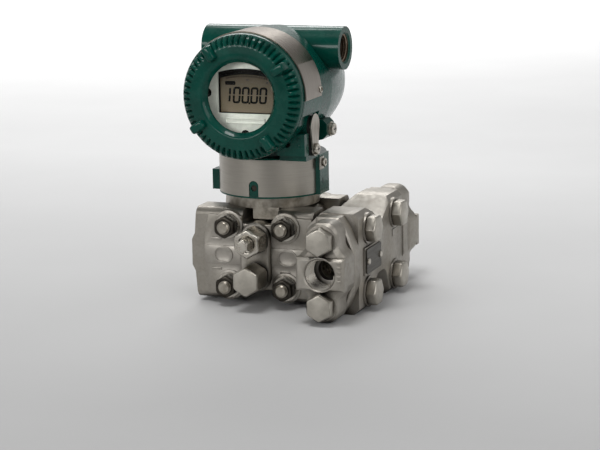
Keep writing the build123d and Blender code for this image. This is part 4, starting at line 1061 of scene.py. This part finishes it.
@dataclass
class DisplayCoverShell:
    """Display cover: a lathe-turned shoulder with a ring of grooves, four wrench lugs and the window's lip.

    The outline is turned once. The grooves are then pressed into the shoulder between the ribs, and end before
    the smooth front ring, so that each has its own small end face.
    """

    finishes: Finishes
    ribs: int = 58
    steps_per_rib: int = 6
    # Steps from one rib to the next that are pressed in, and by which share of the depth
    presses: tuple[tuple[tuple[int, ...], float], ...] = (((2, 3, 4), 0.55), ((3,), 0.75))
    groove_depth: float = 1.5
    groove_inner: float = 34.0
    groove_back: float = 52.6
    bore: float = 32.0
    spigot: float = 34.9
    spigot_length: float = 5.6
    window: float = 22.5
    glass_gap: float = 0.05
    lug_from: float = 28.2
    lug_to: float = 38.9
    lug_width: float = 6.3
    lug_foot: float = 52.0
    lug_face: float = 61.4
    lug_edge: float = 1.5
    lug_start: float = 34.4

    def profile(self) -> list[tuple[float, float]]:
        """Draws the outline of the turned cover.

        Returns:
            Radius and distance in front of the flow axis of each point, from the spigot to the bore.
        """
        back = -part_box("display_cover")[1][1] / MM
        rim = (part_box("display_cover")[1][0] - HEAD_X) / MM
        seat = back + self.spigot_length
        glass = -front_of("window_glass") / MM + self.glass_gap
        spigot = [(self.bore, seat), (self.bore, back), (self.spigot, back), (self.spigot, seat)]
        shoulder = [(rim - 0.4, seat), (rim, seat + 0.4), (rim, seat + 1.3), (rim - 0.5, seat + 1.6),
                    (rim - 0.5, seat + 2.1), (rim - 0.1, seat + 2.4), (rim - 0.2, seat + 4.4),
                    (rim - 0.6, seat + 5.5), (39.4, 53.2), (38.6, 54.5), (37.4, 55.5), (36.0, 56.2), (34.5, 56.7)]
        ring = [(33.3, 57.0), (32.5, 57.1), (29.0, 57.3), (26.2, 57.6), (25.4, 57.45), (24.6, 56.9), (23.4, 55.2),
                (22.7, 54.4), (self.window, 54.1), (self.window, glass), (self.bore, glass)]
        return spigot + shoulder + ring

    def build(self) -> None:
        """Builds the cover and lets it stand for the plain solid."""
        shell = self.turned()
        for phases, share in self.presses:
            pick_vertices(shell, lambda vertex: self.in_groove(vertex.co, phases))
            bpy.ops.transform.shrink_fatten(value=-self.groove_depth * share * MM)
            closed()
        lug = self.lug()
        lugs = [swung(lug, f"wrench_lug_{i + 1}", self.lug_start + 90.0 * i) for i in range(4)]
        removed(lug)
        shell = joined("display_cover_shell", [shell] + lugs)
        finished(shell, self.finishes.paint, Body.DISPLAY_COVER, 40.0)
        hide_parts("display_cover")

    def turned(self) -> Piece:
        """Draws the outline point by point and spins it about the barrel's axis.

        Returns:
            The shell.
        """
        outline = self.profile()
        deselect()
        bpy.ops.mesh.primitive_plane_add(size=MM, location=(0.0, 0.0, 0.0))
        shell = bpy.context.object
        shell.name = "display_cover_shell"
        opened(shell, "VERT", whole=True)
        bpy.ops.mesh.merge(type="CENTER")
        bpy.ops.mesh.select_all(action="SELECT")
        bpy.ops.transform.translate(value=(HEAD_X + outline[0][0] * MM, -outline[0][1] * MM, BARREL_Z))
        for (r0, y0), (r1, y1) in zip(outline, outline[1:]):
            pushed((r1 - r0) * MM, -(y1 - y0) * MM)
        bpy.ops.mesh.select_all(action="SELECT")
        bpy.ops.mesh.spin(steps=self.ribs * self.steps_per_rib, angle=2 * math.pi, center=BARREL,
                          axis=(0.0, 1.0, 0.0))
        bpy.ops.mesh.select_all(action="SELECT")
        bpy.ops.mesh.remove_doubles(threshold=0.01 * MM)
        closed()
        return faced_outwards(shell)

    def in_groove(self, co: Vector, phases: tuple[int, ...]) -> bool:
        """Tells whether a point of the shoulder lies in a groove.

        Args:
            co: The point.
            phases: Steps from one rib to the next that count as groove.

        Returns:
            True if it does.
        """
        x, z = (co.x - HEAD_X) / MM, (co.z - BARREL_Z) / MM
        count = self.ribs * self.steps_per_rib
        phase = round(math.atan2(z, x) / (2 * math.pi) * count) % self.steps_per_rib
        return phase in phases and math.hypot(x, z) > self.groove_inner and -co.y / MM > self.groove_back

    def lug(self) -> Piece:
        """Makes one wrench lug, at the right of the barrel's axis.

        Returns:
            The lug.
        """
        height = self.lug_face - self.lug_foot
        lug = block("wrench_lug", (self.lug_to - self.lug_from, height, self.lug_width),
                    (HEAD_X + (self.lug_from + self.lug_to) / 2 * MM, -(self.lug_foot + height / 2) * MM, BARREL_Z))
        pick_faces(lug, lambda face: face.normal.y < -0.9)
        bpy.ops.transform.resize(value=(0.9, 1.0, 0.86))
        closed()
        return rounded(lug, self.lug_edge, 3)


@dataclass
class DisplayFace:
    """Figures of the display, the black mask and painted shadow round them, and the marks of the bezel."""

    finishes: Finishes
    digit_width: float = 5.3
    digit_height: float = 10.7
    digit_pitch: float = 6.0
    digit_gap: float = 0.7
    digit_corner: float = 1.9
    stroke: float = 1.35
    lean: float = 0.09
    one_x: float = -12.2
    one_drop: float = 2.2
    nought_x: float = -7.4
    digit_foot: float = -5.3
    point_size: float = 1.3
    point_rise: float = 0.4
    ink_rise: float = 0.12
    flag_corner: float = 0.7
    flag_rise: float = 0.3
    tick_count: int = 25
    tick_width: float = 0.45
    tick_step_deg: float = 0.95
    tick_arch: float = 67.9
    tick_top: float = 12.2
    mask_and_shadow_side: float = 1.3
    mask_and_shadow_top: float = 4.0
    mask_and_shadow_low: float = 0.6
    mask_and_shadow_rise: float = 0.2
    panel_half: float = 19.3
    panel_foot: float = -11.6
    panel_head: float = 14.5
    panel_crown: float = 17.3
    notch_radius: float = 2.9
    notch_rise: float = 0.25
    field_rim: float = 0.55
    seal_radius: float = 22.9
    seal_wire: float = 0.42
    seal_lift: float = 0.15

    def __post_init__(self) -> None:
        """Reads where the panel and the bezel lie."""
        self.panel_y = front_of("lcd_panel")
        self.bezel_y = front_of("display_bezel")

    def build(self) -> None:
        """Builds all pieces of the display."""
        self.figures()
        self.flags()
        self.scale_bar()
        self.mask_and_shadow()
        self.bezel_marks()
        self.gasket()

    def place(self, x_mm: float, z_mm: float, y: float) -> Triple:
        """Returns a point on the display, from millimetres right of and above the barrel's axis."""
        return (HEAD_X + x_mm * MM, y, BARREL_Z + z_mm * MM)

    def sheet(self, name: str, width: float, height: float, x_mm: float, z_mm: float) -> Piece:
        """Adds a flat sheet on the panel, seen from the front.

        Args:
            name: Name of the piece.
            width: Its width.
            height: Its height.
            x_mm: Place of its middle, right of the barrel's axis.
            z_mm: Place of its middle, above the barrel's axis.

        Returns:
            The sheet.
        """
        deselect()
        bpy.ops.mesh.primitive_plane_add(size=1.0, location=self.place(x_mm, z_mm, self.panel_y),
                                         rotation=Way.FRONT.value)
        bpy.context.object.scale = (width * MM, height * MM, 1.0)
        return named(name)

    def thickened(self, sheet: Piece, rise: float) -> Piece:
        """Gives a flat sheet its thickness, towards the viewer.

        Args:
            sheet: The sheet.
            rise: Its thickness.

        Returns:
            The same sheet.
        """
        opened(sheet, whole=True)
        pushed(y=-rise * MM)
        closed()
        return faced_outwards(sheet)

    def round_corners(self, sheet: Piece, radius: float, segments: int) -> None:
        """Rounds the corners of a flat sheet and leaves it open for editing.

        Args:
            sheet: The sheet.
            radius: Size of the rounding.
            segments: Number of its facets.
        """
        opened(sheet, "VERT", whole=True)
        bpy.ops.mesh.bevel(offset=radius * MM, segments=segments, affect="VERTICES")

    def nought(self) -> Piece:
        """Makes a nought of two arches with a gap between them.

        Returns:
            The nought.
        """
        middle = self.digit_foot + self.digit_height / 2
        digit = self.sheet("display_nought", self.digit_width, self.digit_height, self.nought_x, middle)
        self.round_corners(digit, self.digit_corner, 5)
        bpy.ops.mesh.select_mode(type="FACE")
        bpy.ops.mesh.select_all(action="SELECT")
        bpy.ops.mesh.inset(thickness=self.stroke * MM)
        bpy.ops.mesh.delete(type="FACE")
        closed()
        return self.gapped(digit, middle)

    def one(self) -> Piece:
        """Makes a one of two strokes.

        Returns:
            The one.
        """
        middle = self.digit_foot + self.digit_height / 2
        digit = self.sheet("display_one", self.stroke, self.digit_height - self.one_drop, self.one_x, middle)
        return self.gapped(digit, middle)

    def gapped(self, digit: Piece, middle: float) -> Piece:
        """Cuts the gap between the upper and the lower strokes of a digit.

        Args:
            digit: The digit.
            middle: Height of the gap above the barrel's axis.

        Returns:
            The same digit.
        """
        half = self.digit_gap / 2
        for level in (-half, half):
            opened(digit, whole=True)
            bpy.ops.mesh.bisect(plane_co=self.place(0.0, middle + level, self.panel_y), plane_no=(0.0, 0.0, 1.0))
            closed()
        pick_faces(digit, lambda face: abs(face.center.z - BARREL_Z - middle * MM) < half * MM)
        bpy.ops.mesh.delete(type="FACE")
        closed()
        return digit

    def figures(self) -> None:
        """Writes the reading: a one, two noughts, a point and two noughts."""
        nought = self.nought()
        copies = [copy_of(nought, "display_nought", (i * self.digit_pitch * MM, 0.0, 0.0)) for i in (1, 2, 3)]
        point = self.sheet("display_point", self.point_size, self.point_size,
                           self.nought_x + 1.5 * self.digit_pitch, self.digit_foot + self.point_rise)
        reading = joined("display_reading", [self.one(), nought] + copies + [point])
        foot = BARREL_Z + self.digit_foot * MM
        slant = Matrix(((1.0, 0.0, self.lean, -self.lean * foot), (0.0, 1.0, 0.0, 0.0),
                        (0.0, 0.0, 1.0, 0.0), (0.0, 0.0, 0.0, 1.0)))
        reading.data.transform(slant)
        self.thickened(reading, self.ink_rise)
        finished(reading, self.finishes.ink, Body.HEAD)

    def flags(self) -> None:
        """Adds the flag at the upper left and two pointer marks."""
        flag = self.sheet("display_flag", 6.9, 2.5, -11.2, 7.7)
        self.round_corners(flag, self.flag_corner, 3)
        closed()
        finished(self.thickened(flag, self.flag_rise), self.finishes.ink, Body.HEAD)
        for name, width, height, x_mm, z_mm in (("display_pointer", 1.5, 1.3, 0.6, 9.9),
                                                ("display_mark", 1.2, 1.2, 14.0, 8.3)):
            mark = self.thickened(self.sheet(name, width, height, x_mm, z_mm), self.ink_rise)
            finished(mark, self.finishes.faint_ink, Body.HEAD)

    def scale_bar(self) -> None:
        """Adds the row of ticks under the arch, every fifth one longer."""
        tall = self.sheet("display_tick_tall", self.tick_width, 1.7, 0.0, 0.0)
        short = self.sheet("display_tick_short", self.tick_width, 1.2, 0.0, 0.0)
        ticks = []
        for i in range(self.tick_count):
            angle = math.radians((i - (self.tick_count - 1) / 2) * self.tick_step_deg)
            x_mm = self.tick_arch * math.sin(angle)
            z_mm = self.tick_top - self.tick_arch * (1 - math.cos(angle))
            ticks.append(copy_of(short if i % 5 else tall, "display_tick", (x_mm * MM, 0.0, z_mm * MM)))
        removed(tall, short)
        row = self.thickened(joined("display_scale", ticks), self.ink_rise)
        finished(row, self.finishes.ink, Body.HEAD)

    def mask_and_shadow(self) -> None:
        """Adds the black edge of the panel: its sides, foot and arch, partly real mask and partly painted shadow."""
        half, foot, head, crown = self.panel_half, self.panel_foot, self.panel_head, self.panel_crown
        rise = crown - head
        radius = (half * half + rise * rise) / (2 * rise)
        # The sides are mostly painted shadow of the bezel's recess; the arch is partly real mask, partly painted
        # shadow.
        sides = [self.sheet("mask_and_shadow_side", self.mask_and_shadow_side, head - foot, way * (half - self.mask_and_shadow_side / 2),
                            (head + foot) / 2) for way in (-1, 1)]
        base = self.sheet("mask_and_shadow_foot", 2 * half, self.mask_and_shadow_low, 0.0, foot + self.mask_and_shadow_low / 2)
        # The arch is an upright edge that is spun about the middle of its circle
        sweep = 2 * math.asin(half / radius)
        top = self.sheet("mask_and_shadow_arch", 0.4, self.mask_and_shadow_top, 0.0, crown - self.mask_and_shadow_top / 2)
        pick_vertices(top, lambda vertex: vertex.co.x > HEAD_X)
        bpy.ops.mesh.delete(type="VERT")
        bpy.ops.mesh.select_all(action="SELECT")
        hub = self.place(0.0, crown - radius, self.panel_y)
        bpy.ops.transform.rotate(value=-sweep / 2, orient_axis="Y", center_override=hub)
        bpy.ops.mesh.spin(steps=24, angle=sweep, center=hub, axis=(0.0, 1.0, 0.0))
        closed()
        edge = faced_outwards(joined("display_mask_and_shadow", sides + [base, top]))
        finished(self.thickened(edge, self.mask_and_shadow_rise), self.finishes.ink, Body.HEAD)

    def bezel_marks(self) -> None:
        """Adds the two round notches of the bezel as black discs of painted shade, and the bare raised field below
        the panel.
        """
        for name, x_mm, z_mm in (("bezel_notch_left", -26.4, 1.4), ("bezel_notch_low", -0.7, -24.8)):
            # Painted shade: each notch is a black disc standing for the dark of its hollow.
            notch = disc(name, self.notch_radius, self.notch_rise, self.place(x_mm, z_mm, self.bezel_y), Way.FRONT)
            finished(rounded(notch, 0.05), self.finishes.ink, Body.HEAD)
        bare = block("bezel_field", (26.8, 0.8, 3.6), self.place(-0.6, -16.2, self.bezel_y - 0.3 * MM))
        sunk(bare, lambda face: face.normal.y < -0.9, self.field_rim, y=self.field_rim * MM)
        finished(rounded(bare, 0.12), self.finishes.bezel, Body.HEAD)

    def gasket(self) -> None:
        """Adds the seal between the window and the cover."""
        deselect()
        bpy.ops.mesh.primitive_torus_add(
            location=self.place(0.0, 0.0, front_of("window_glass") - self.seal_lift * MM), rotation=Way.FRONT.value,
            major_radius=self.seal_radius * MM, minor_radius=self.seal_wire * MM, major_segments=96,
            minor_segments=12)
        finished(named("window_seal"), self.finishes.rubber, Body.DISPLAY_COVER)


@dataclass
class PipeThreads:
    """Threads of the two process ports, and thread and raw bore of the open cable entry."""

    finishes: Finishes
    pitch: float = 1.81
    port_radius: float = 9.8
    port_turns: int = 8
    port_inset: float = 1.6
    entry_radius: float = 9.2
    entry_turns: int = 11
    entry_inset: float = 2.0
    lining_radius: float = 9.1
    lining_length: float = 24.0
    lining_inset: float = 1.2
    lining_wall: float = 0.1

    def build(self) -> None:
        """Builds the three threads and the lining."""
        face = front_of("front_process_connector")
        front = helix("front_port_thread", self.port_radius, self.pitch, self.port_turns,
                      (PORT_X, face + self.port_inset * MM, FLOW_Z), Way.BACK, False)
        for thread in (front, mirrored(front, "rear_port_thread")):
            finished(thread, self.finishes.turned_y, Body.PROCESS)
        tube_axis = centre("entry_plug")
        mouth = 2 * HEAD_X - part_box("entry_plug")[0][0]
        entry = helix("cable_entry_thread", self.entry_radius, self.pitch, self.entry_turns,
                      (mouth - self.entry_inset * MM, tube_axis.y, tube_axis.z), Way.LEFT, False)
        middle = mouth - (self.lining_length / 2 + self.lining_inset) * MM
        lining = tube("cable_entry_lining", self.lining_radius, self.lining_length,
                      (middle, tube_axis.y, tube_axis.z), Way.RIGHT, 64)
        with_modifier(lining, "SOLIDIFY", thickness=self.lining_wall * MM, offset=0.0)
        for piece in (entry, lining):
            finished(piece, self.finishes.raw_bore, Body.HEAD)


@dataclass
class StudThreads:
    """Threads on the ends of the four flange studs, between each nut and the rounded end."""

    finishes: Finishes
    stud: float = 4.0
    ridge_foot: float = 3.92
    pitch: float = 0.75
    turns: int = 2
    nut_gap: float = 0.2

    def build(self) -> None:
        """Builds one thread end, its copies on the other studs and their mirror images."""
        low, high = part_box("flange_studs")
        left, foot = low[0] + self.stud * MM, low[2] + self.stud * MM
        across, up = high[0] - self.stud * MM - left, high[2] - self.stud * MM - foot
        first = helix("stud_thread", self.ridge_foot, self.pitch, self.turns,
                      (left, front_of("flange_nuts") + self.nut_gap * MM, foot), Way.FRONT, True)
        others = [copy_of(first, "stud_thread", (x, 0.0, z)) for x, z in ((0.0, up), (across, 0.0), (across, up))]
        front = joined("front_stud_threads", [first] + others)
        for threads in (front, mirrored(front, "rear_stud_threads")):
            finished(threads, self.finishes.rolled, Body.PROCESS)


@dataclass
class NameStripFittings:
    """What sits on the stainless strip of the barrel: a bare plate and two fixing screws."""

    finishes: Finishes
    radius: float = 41.17
    plate_from: float = -1.5
    plate_to: float = 30.5
    plate_rise: float = 0.12
    plate_margin: float = 0.6
    screw_radius: float = 2.3
    screw_height: float = 1.5
    screw_sink: float = 0.4
    screw_margin: float = 2.6
    screw_right: float = 3.0
    screw_left: float = 160.0

    def build(self) -> None:
        """Builds the plate and the screws."""
        self.plate()
        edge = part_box("name_strip")[1][1] - self.screw_margin * MM
        screw = round_head("strip_screw", self.screw_radius, self.screw_height,
                           (HEAD_X + (self.radius - self.screw_sink) * MM, edge, BARREL_Z))
        for name, degrees in (("strip_screw_right", self.screw_right), ("strip_screw_left", self.screw_left)):
            finished(swung(screw, name, degrees), self.finishes.turned_x, Body.HEAD)
        removed(screw)

    def plate(self) -> None:
        """Cuts a bare plate out of a tube and lays it on the strip."""
        low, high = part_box("name_strip")
        plate = tube("strip_plate", self.radius, (high[1] - low[1]) / MM - 2 * self.plate_margin,
                     (HEAD_X, (low[1] + high[1]) / 2, BARREL_Z), Way.FRONT, 180)
        first, last = math.radians(self.plate_from), math.radians(self.plate_to)
        pick_faces(plate, lambda face: not first < math.atan2(face.center.z - BARREL_Z,
                                                              face.center.x - HEAD_X) < last)
        bpy.ops.mesh.delete(type="FACE")
        closed()
        with_modifier(plate, "SOLIDIFY", thickness=self.plate_rise * MM, offset=1.0)
        finished(plate, self.finishes.strip_plate, Body.HEAD)


@dataclass
class BandFittings:
    """Tab of the neck band with its screw, on the flat at the right of the base ring, and the slot below as painted
    shade.
    """

    finishes: Finishes
    flat_offset: float = 36.6
    tab_size: Triple = (0.6, 8.0, 8.4)
    tab_y: float = -7.6
    screw_y: float = -5.4
    screw_rise: float = 57.9
    screw_radius: float = 2.9
    screw_height: float = 1.7
    slot_shadow_size: Triple = (0.2, 1.0, 3.6)
    slot_shadow_y: float = -5.0
    slot_shadow_rise: float = 45.8

    def build(self) -> None:
        """Builds the tab, its screw and the slot below it, a black sheet of painted shade."""
        flat_x = HEAD_X + self.flat_offset * MM
        thickness, z = self.tab_size[0] * MM, FLOW_Z + self.screw_rise * MM
        tab = block("band_tab", self.tab_size, (flat_x + thickness / 2, self.tab_y * MM, z))
        finished(rounded(tab, 0.2), self.finishes.band, Body.HEAD)
        screw = round_head("band_screw", self.screw_radius, self.screw_height,
                           (flat_x + thickness, self.screw_y * MM, z))
        finished(screw, self.finishes.turned_x, Body.HEAD)
        # Painted shade: the slot is a thin black sheet, dark as the shade inside it.
        slot = block("flat_slot_shadow", self.slot_shadow_size,
                     (flat_x + 0.05 * MM, self.slot_shadow_y * MM, FLOW_Z + self.slot_shadow_rise * MM))
        finished(rounded(slot, 0.05), self.finishes.module, Body.HEAD)


@dataclass
class CoverLock:
    """Screw that locks the display cover, and the two small studs beside it."""

    finishes: Finishes
    hole_x: float = 26.2
    hole_rise: float = 74.8
    hole_depth: float = 3.6
    face_y: float = -40.5
    screw_radius: float = 2.1
    screw_height: float = 2.0
    screw_rim: float = 0.8
    recess: float = 1.2
    stud_size: Triple = (1.8, 0.7, 1.8)
    stud_x: float = 33.6
    stud_rise: float = 77.7
    stud_step: float = 4.3

    def build(self) -> None:
        """Builds the screw in its recess and the studs."""
        foot = (self.face_y + self.hole_depth) * MM
        screw = disc("cover_lock_screw", self.screw_radius, self.screw_height,
                     (HEAD_X + self.hole_x * MM, foot, FLOW_Z + self.hole_rise * MM), Way.FRONT)
        top = foot - self.screw_height * MM
        sunk(screw, lambda face: face.normal.y < -0.95 and abs(face.center.y - top) < 0.05 * MM, self.screw_rim,
             y=self.recess * MM)
        finished(rounded(screw, 0.15), self.finishes.nuts, Body.HEAD)
        upper = rounded(block("lock_block_stud_1", self.stud_size,
                              (HEAD_X + self.stud_x * MM, (self.face_y - 0.2) * MM,
                               FLOW_Z + self.stud_rise * MM)), 0.2)
        lower = copy_of(upper, "lock_block_stud_2", (0.0, 0.0, -self.stud_step * MM))
        for stud in (upper, lower):
            finished(stud, self.finishes.paint, Body.HEAD)


@dataclass
class CrossRecesses:
    """Cross recesses in the heads of the screws at the right of the head, drawn as black crosses of painted shade."""

    finishes: Finishes
    arm: float = 1.0
    thickness: float = 0.16
    pivot_length: float = 3.6
    ground_length: float = 4.4

    def build(self) -> None:
        """Builds the recesses of the guard's pivot screw and of the ground screw, in black as painted shade."""
        for node, length in (("guard_pivot", self.pivot_length), ("ground_screw", self.ground_length)):
            middle = centre(node)
            face = (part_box(node)[1][0], middle.y, middle.z)
            arms = [block(f"{node}_arm", (self.thickness, length, self.arm), face),
                    block(f"{node}_arm", (self.thickness, self.arm, length), face)]
            # Painted shade: the crosses are black, dark as the shade inside the recesses.
            cross = rounded(joined(f"{node}_recess", arms), 0.05)
            finished(cross, self.finishes.module, Body.HEAD)


@dataclass
class FlangeMarks:
    """Oval rings and short bare bars that the foundry leaves on both faces of the cover flanges."""

    finishes: Finishes
    ring_length: float = 12.4
    ring_height: float = 9.8
    ring_wall: float = 0.8
    ring_rise: float = 0.6
    ring_root: float = 0.2
    ring_x: tuple[float, float] = (-37.9, 6.5)
    band_y: float = -38.6
    bar_size: Triple = (7.0, 0.5, 1.5)
    bar_y: float = -38.05
    bar_x: tuple[float, float] = (-43.0, 4.6)
    bar_rise: tuple[float, float] = (10.4, -9.4)
    edge: float = 0.18

    def build(self) -> None:
        """Builds the marks of the front flange and their copies on the rear one."""
        ring = self.ring()
        bar = rounded(block("flange_bar", self.bar_size, (0.0, self.bar_y * MM, FLOW_Z)), self.edge)
        pieces = [copy_of(ring, "flange_ring", (x * MM, 0.0, 0.0)) for x in self.ring_x]
        pieces += [copy_of(bar, "flange_bar", (x * MM, 0.0, rise * MM)) for x in self.bar_x for rise in self.bar_rise]
        removed(ring, bar)
        front = joined("front_flange_marks", pieces)
        for marks in (front, mirrored(front, "rear_flange_marks")):
            finished(marks, self.finishes.cast, Body.PROCESS)

    def ring(self) -> Piece:
        """Stretches a tube to an oval ring that stands on the band, its middle at X = 0.

        Returns:
            The ring.
        """
        middle = (0.0, (self.band_y - (self.ring_rise - self.ring_root) / 2) * MM, FLOW_Z)
        ring = tube("flange_ring_model", self.ring_height / 2, self.ring_rise + self.ring_root, middle, Way.FRONT, 48)
        stretch = (self.ring_length - self.ring_height) / 2
        for way in (1.0, -1.0):
            pick_vertices(ring, lambda vertex: vertex.co.x * way > 0.01 * MM)
            bpy.ops.transform.translate(value=(way * stretch * MM, 0.0, 0.0))
            closed()
        with_modifier(ring, "SOLIDIFY", thickness=self.ring_wall * MM, offset=0.0)
        return rounded(ring, self.edge)


@dataclass
class CastMarks:
    """Bare raised marks that the foundry leaves on the connectors and the manifold."""

    finishes: Finishes
    bar_size: Triple = (3.0, 0.6, 1.7)
    bar_x: float = 13.1
    bar_top: float = 8.2
    bar_step: float = 2.9
    bar_count: int = 5
    pad_size: Triple = (0.8, 13.0, 4.6)
    pad_y: float = 29.5
    pad_rise: float = 7.4
    pad_rim: float = 0.8
    pad_dish: float = 0.25
    wall_back: float = 1.2

    def build(self) -> None:
        """Builds the marks of the connectors and the manifold."""
        first = block("connector_bar", self.bar_size,
                      (PORT_X + self.bar_x * MM, front_of("front_process_connector"), FLOW_Z + self.bar_top * MM))
        bars = [first] + [copy_of(first, "connector_bar", (0.0, 0.0, -i * self.bar_step * MM))
                          for i in range(1, self.bar_count)]
        front = rounded(joined("front_connector_bars", bars), 0.2)
        for marks in (front, mirrored(front, "rear_connector_bars")):
            finished(marks, self.finishes.cast, Body.PROCESS)
        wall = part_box("manifold_body")[1][0] - self.wall_back * MM
        pad = block("manifold_mark", self.pad_size, (wall, self.pad_y * MM, FLOW_Z + self.pad_rise * MM))
        pick_faces(pad, lambda face: face.normal.x > 0.9)
        bpy.ops.mesh.inset(thickness=self.pad_rim * MM)
        bpy.ops.transform.translate(value=(-self.pad_dish * MM, 0.0, 0.0))
        closed()
        finished(rounded(pad, 0.12), self.finishes.cast, Body.PROCESS)


@dataclass
class Studio:
    """Floor, backdrop, lamps and the camera at the photograph's angle, in metres and watts."""

    sensor_mm: float = 36.0
    lens_mm: float = 122.04
    camera_at: Triple = (0.4655, -1.2283, 0.3088)
    turn_deg: float = 20.69
    drop_deg: float = 9.8
    roll_deg: float = -1.01
    shift_y: float = -53 / 600
    floor_size: float = 8.0
    floor_front: float = -0.9
    floor_back: float = 0.5
    # Painted fall-off of light on the floor: place from front to back, and grey level.
    floor_tones: tuple[tuple[float, float], ...] = ((0.0, 0.3), (0.45, 0.46), (0.64, 0.6), (1.0, 0.88))
    mottle_mm: float = 150.0
    front_level: float = 0.13
    back_level: float = 0.62
    flag_level: float = 0.3
    seen_level: float = 0.9

    def build(self) -> None:
        """Builds the studio."""
        self.camera()
        self.floor()
        self.world()
        self.lamp("key", (-0.55, -1.25, 0.45), 0.9, 5.6, tall=0.3)
        self.lamp("fill", (1.0, -0.75, 0.55), 0.8, 4.0)
        self.lamp("top", (-0.07, -0.3, 1.25), 0.4, 6.0)
        self.lamp("rim", (-0.4, 0.5, 1.1), 0.16, 0.5)
        self.lamp("backdrop", (-1.1, 2.3, 1.6), 1.8, 52.0, (-1.2, 2.5, 0.0))
        bpy.context.scene.view_settings.view_transform = "Standard"

    def camera(self) -> None:
        """Places the camera by the angles that were fitted to the photograph's outlines."""
        turn, drop, roll = (math.radians(v) for v in (self.turn_deg, self.drop_deg, self.roll_deg))
        ahead = Vector((-math.sin(turn) * math.cos(drop), math.cos(turn) * math.cos(drop), -math.sin(drop)))
        right = Vector((math.cos(turn), math.sin(turn), 0.0))
        up = right.cross(ahead)
        tilted_right = right * math.cos(roll) + up * math.sin(roll)
        tilted_up = up * math.cos(roll) - right * math.sin(roll)
        data = bpy.data.cameras.new("photo_camera")
        data.sensor_width = self.sensor_mm
        data.sensor_fit = "HORIZONTAL"
        data.lens = self.lens_mm
        data.shift_y = self.shift_y
        camera = bpy.data.objects.new("photo_camera", data)
        bpy.context.scene.collection.objects.link(camera)
        turned = Matrix((tilted_right, tilted_up, -ahead)).transposed().to_4x4()
        camera.matrix_world = Matrix.Translation(Vector(self.camera_at)) @ turned
        bpy.context.scene.camera = camera

    def floor(self) -> None:
        """Adds a seamless floor that pales from mid grey near the camera to the back, as in the photograph."""
        deselect()
        bpy.ops.mesh.primitive_plane_add(size=self.floor_size, location=(0.0, 0.0, 0.0))
        floor = bpy.context.object
        floor.name = "studio_floor"
        paper = Coating("pale_seamless_paper", {"Roughness": 0.8})
        depth = add_node(paper.tree, "ShaderNodeSeparateXYZ", {"Vector": paper.coords}).outputs["Y"]
        share = add_node(paper.tree, "ShaderNodeMapRange", {"Value": depth, "From Min": self.floor_front,
                                                            "From Max": self.floor_back}).outputs[0]
        # Painted fall-off of light: the paper is coloured darker near the camera and paler at the back.
        shade = add_node(paper.tree, "ShaderNodeValToRGB", {"Fac": share},
                         [(place, grey(level)) for place, level in self.floor_tones]).outputs["Color"]
        mottle = paper.tones((0.3, grey(0.97)), (0.7, WHITE), self.mottle_mm)
        tone = add_node(paper.tree, "ShaderNodeMixRGB", {"Fac": 1.0, "Color1": shade, "Color2": mottle},
                        blend_type="MULTIPLY")
        floor.data.materials.append(paper.finish({"Base Color": tone.outputs[0]}))

    def world(self) -> None:
        """Sets a soft surround that the camera sees as a pale backdrop.

        It lights more from the back than from the front, and a darker band at the right gives the metal
        something to mirror.
        """
        world = bpy.data.worlds.new("studio_surround")
        bpy.context.scene.world = world
        world.use_nodes = True
        tree = world.node_tree
        tree.nodes.clear()
        towards = add_node(tree, "ShaderNodeTexCoord").outputs["Generated"]
        way = add_node(tree, "ShaderNodeSeparateXYZ", {"Vector": towards})
        share = add_node(tree, "ShaderNodeMapRange", {"Value": way.outputs["Y"], "From Min": -0.6,
                                                      "From Max": 0.6}).outputs[0]
        room = add_node(tree, "ShaderNodeValToRGB", {"Fac": share},
                        ((0.0, grey(self.front_level)), (1.0, grey(self.back_level))))
        across = add_node(tree, "ShaderNodeMapRange", {"Value": way.outputs["X"], "From Min": -1.0}).outputs[0]
        flag = add_node(tree, "ShaderNodeValToRGB", {"Fac": across},
                        ((0.49, WHITE), (0.55, grey(self.flag_level)), (0.63, grey(self.flag_level)), (0.70, WHITE)))
        shaded = add_node(tree, "ShaderNodeMixRGB", {"Fac": 1.0, "Color1": room.outputs["Color"],
                                                     "Color2": flag.outputs["Color"]}, blend_type="MULTIPLY")
        soft = add_node(tree, "ShaderNodeBackground", {"Color": shaded.outputs[0], "Strength": 1.0})
        seen = add_node(tree, "ShaderNodeBackground", {"Color": grey(self.seen_level), "Strength": 1.0})
        path = add_node(tree, "ShaderNodeLightPath")
        mixed = add_node(tree, "ShaderNodeMixShader", {0: path.outputs["Is Camera Ray"],
                                                       1: soft.outputs[0], 2: seen.outputs[0]})
        add_node(tree, "ShaderNodeOutputWorld", {"Surface": mixed.outputs[0]})

    def lamp(self, name: str, place: Triple, size: float, watts: float, target: Triple = (0.0, 0.0, 0.09),
             tall: Optional[float] = None) -> None:
        """Adds a soft box.

        Args:
            name: Name of the lamp.
            place: Its middle.
            size: Its width.
            watts: Its power.
            target: Point that it faces, the instrument unless told otherwise.
            tall: Its height, as its width unless told otherwise.
        """
        data = bpy.data.lights.new(name, "AREA")
        data.shape = "RECTANGLE"
        data.size = size
        data.size_y = tall or size
        data.energy = watts
        lamp = bpy.data.objects.new(name, data)
        bpy.context.scene.collection.objects.link(lamp)
        aim = Vector(target) - Vector(place)
        lamp.rotation_euler = aim.to_track_quat("-Z", "Y").to_euler()
        lamp.location = place


def main() -> None:
    """Builds the studio, dresses the frame and adds the details."""
    logging.basicConfig(level=logging.INFO, format="%(message)s")
    finishes = Finishes()
    Studio().build()
    dress_frame(finishes)
    for kind in (SoftEdges, DisplayCoverShell, DisplayFace, PipeThreads, StudThreads, NameStripFittings,
                 BandFittings, CoverLock, CrossRecesses, FlangeMarks, CastMarks):
        kind(finishes).build()
        log.info("built %s", kind.__name__)


if __name__ == "__main__":
    main()
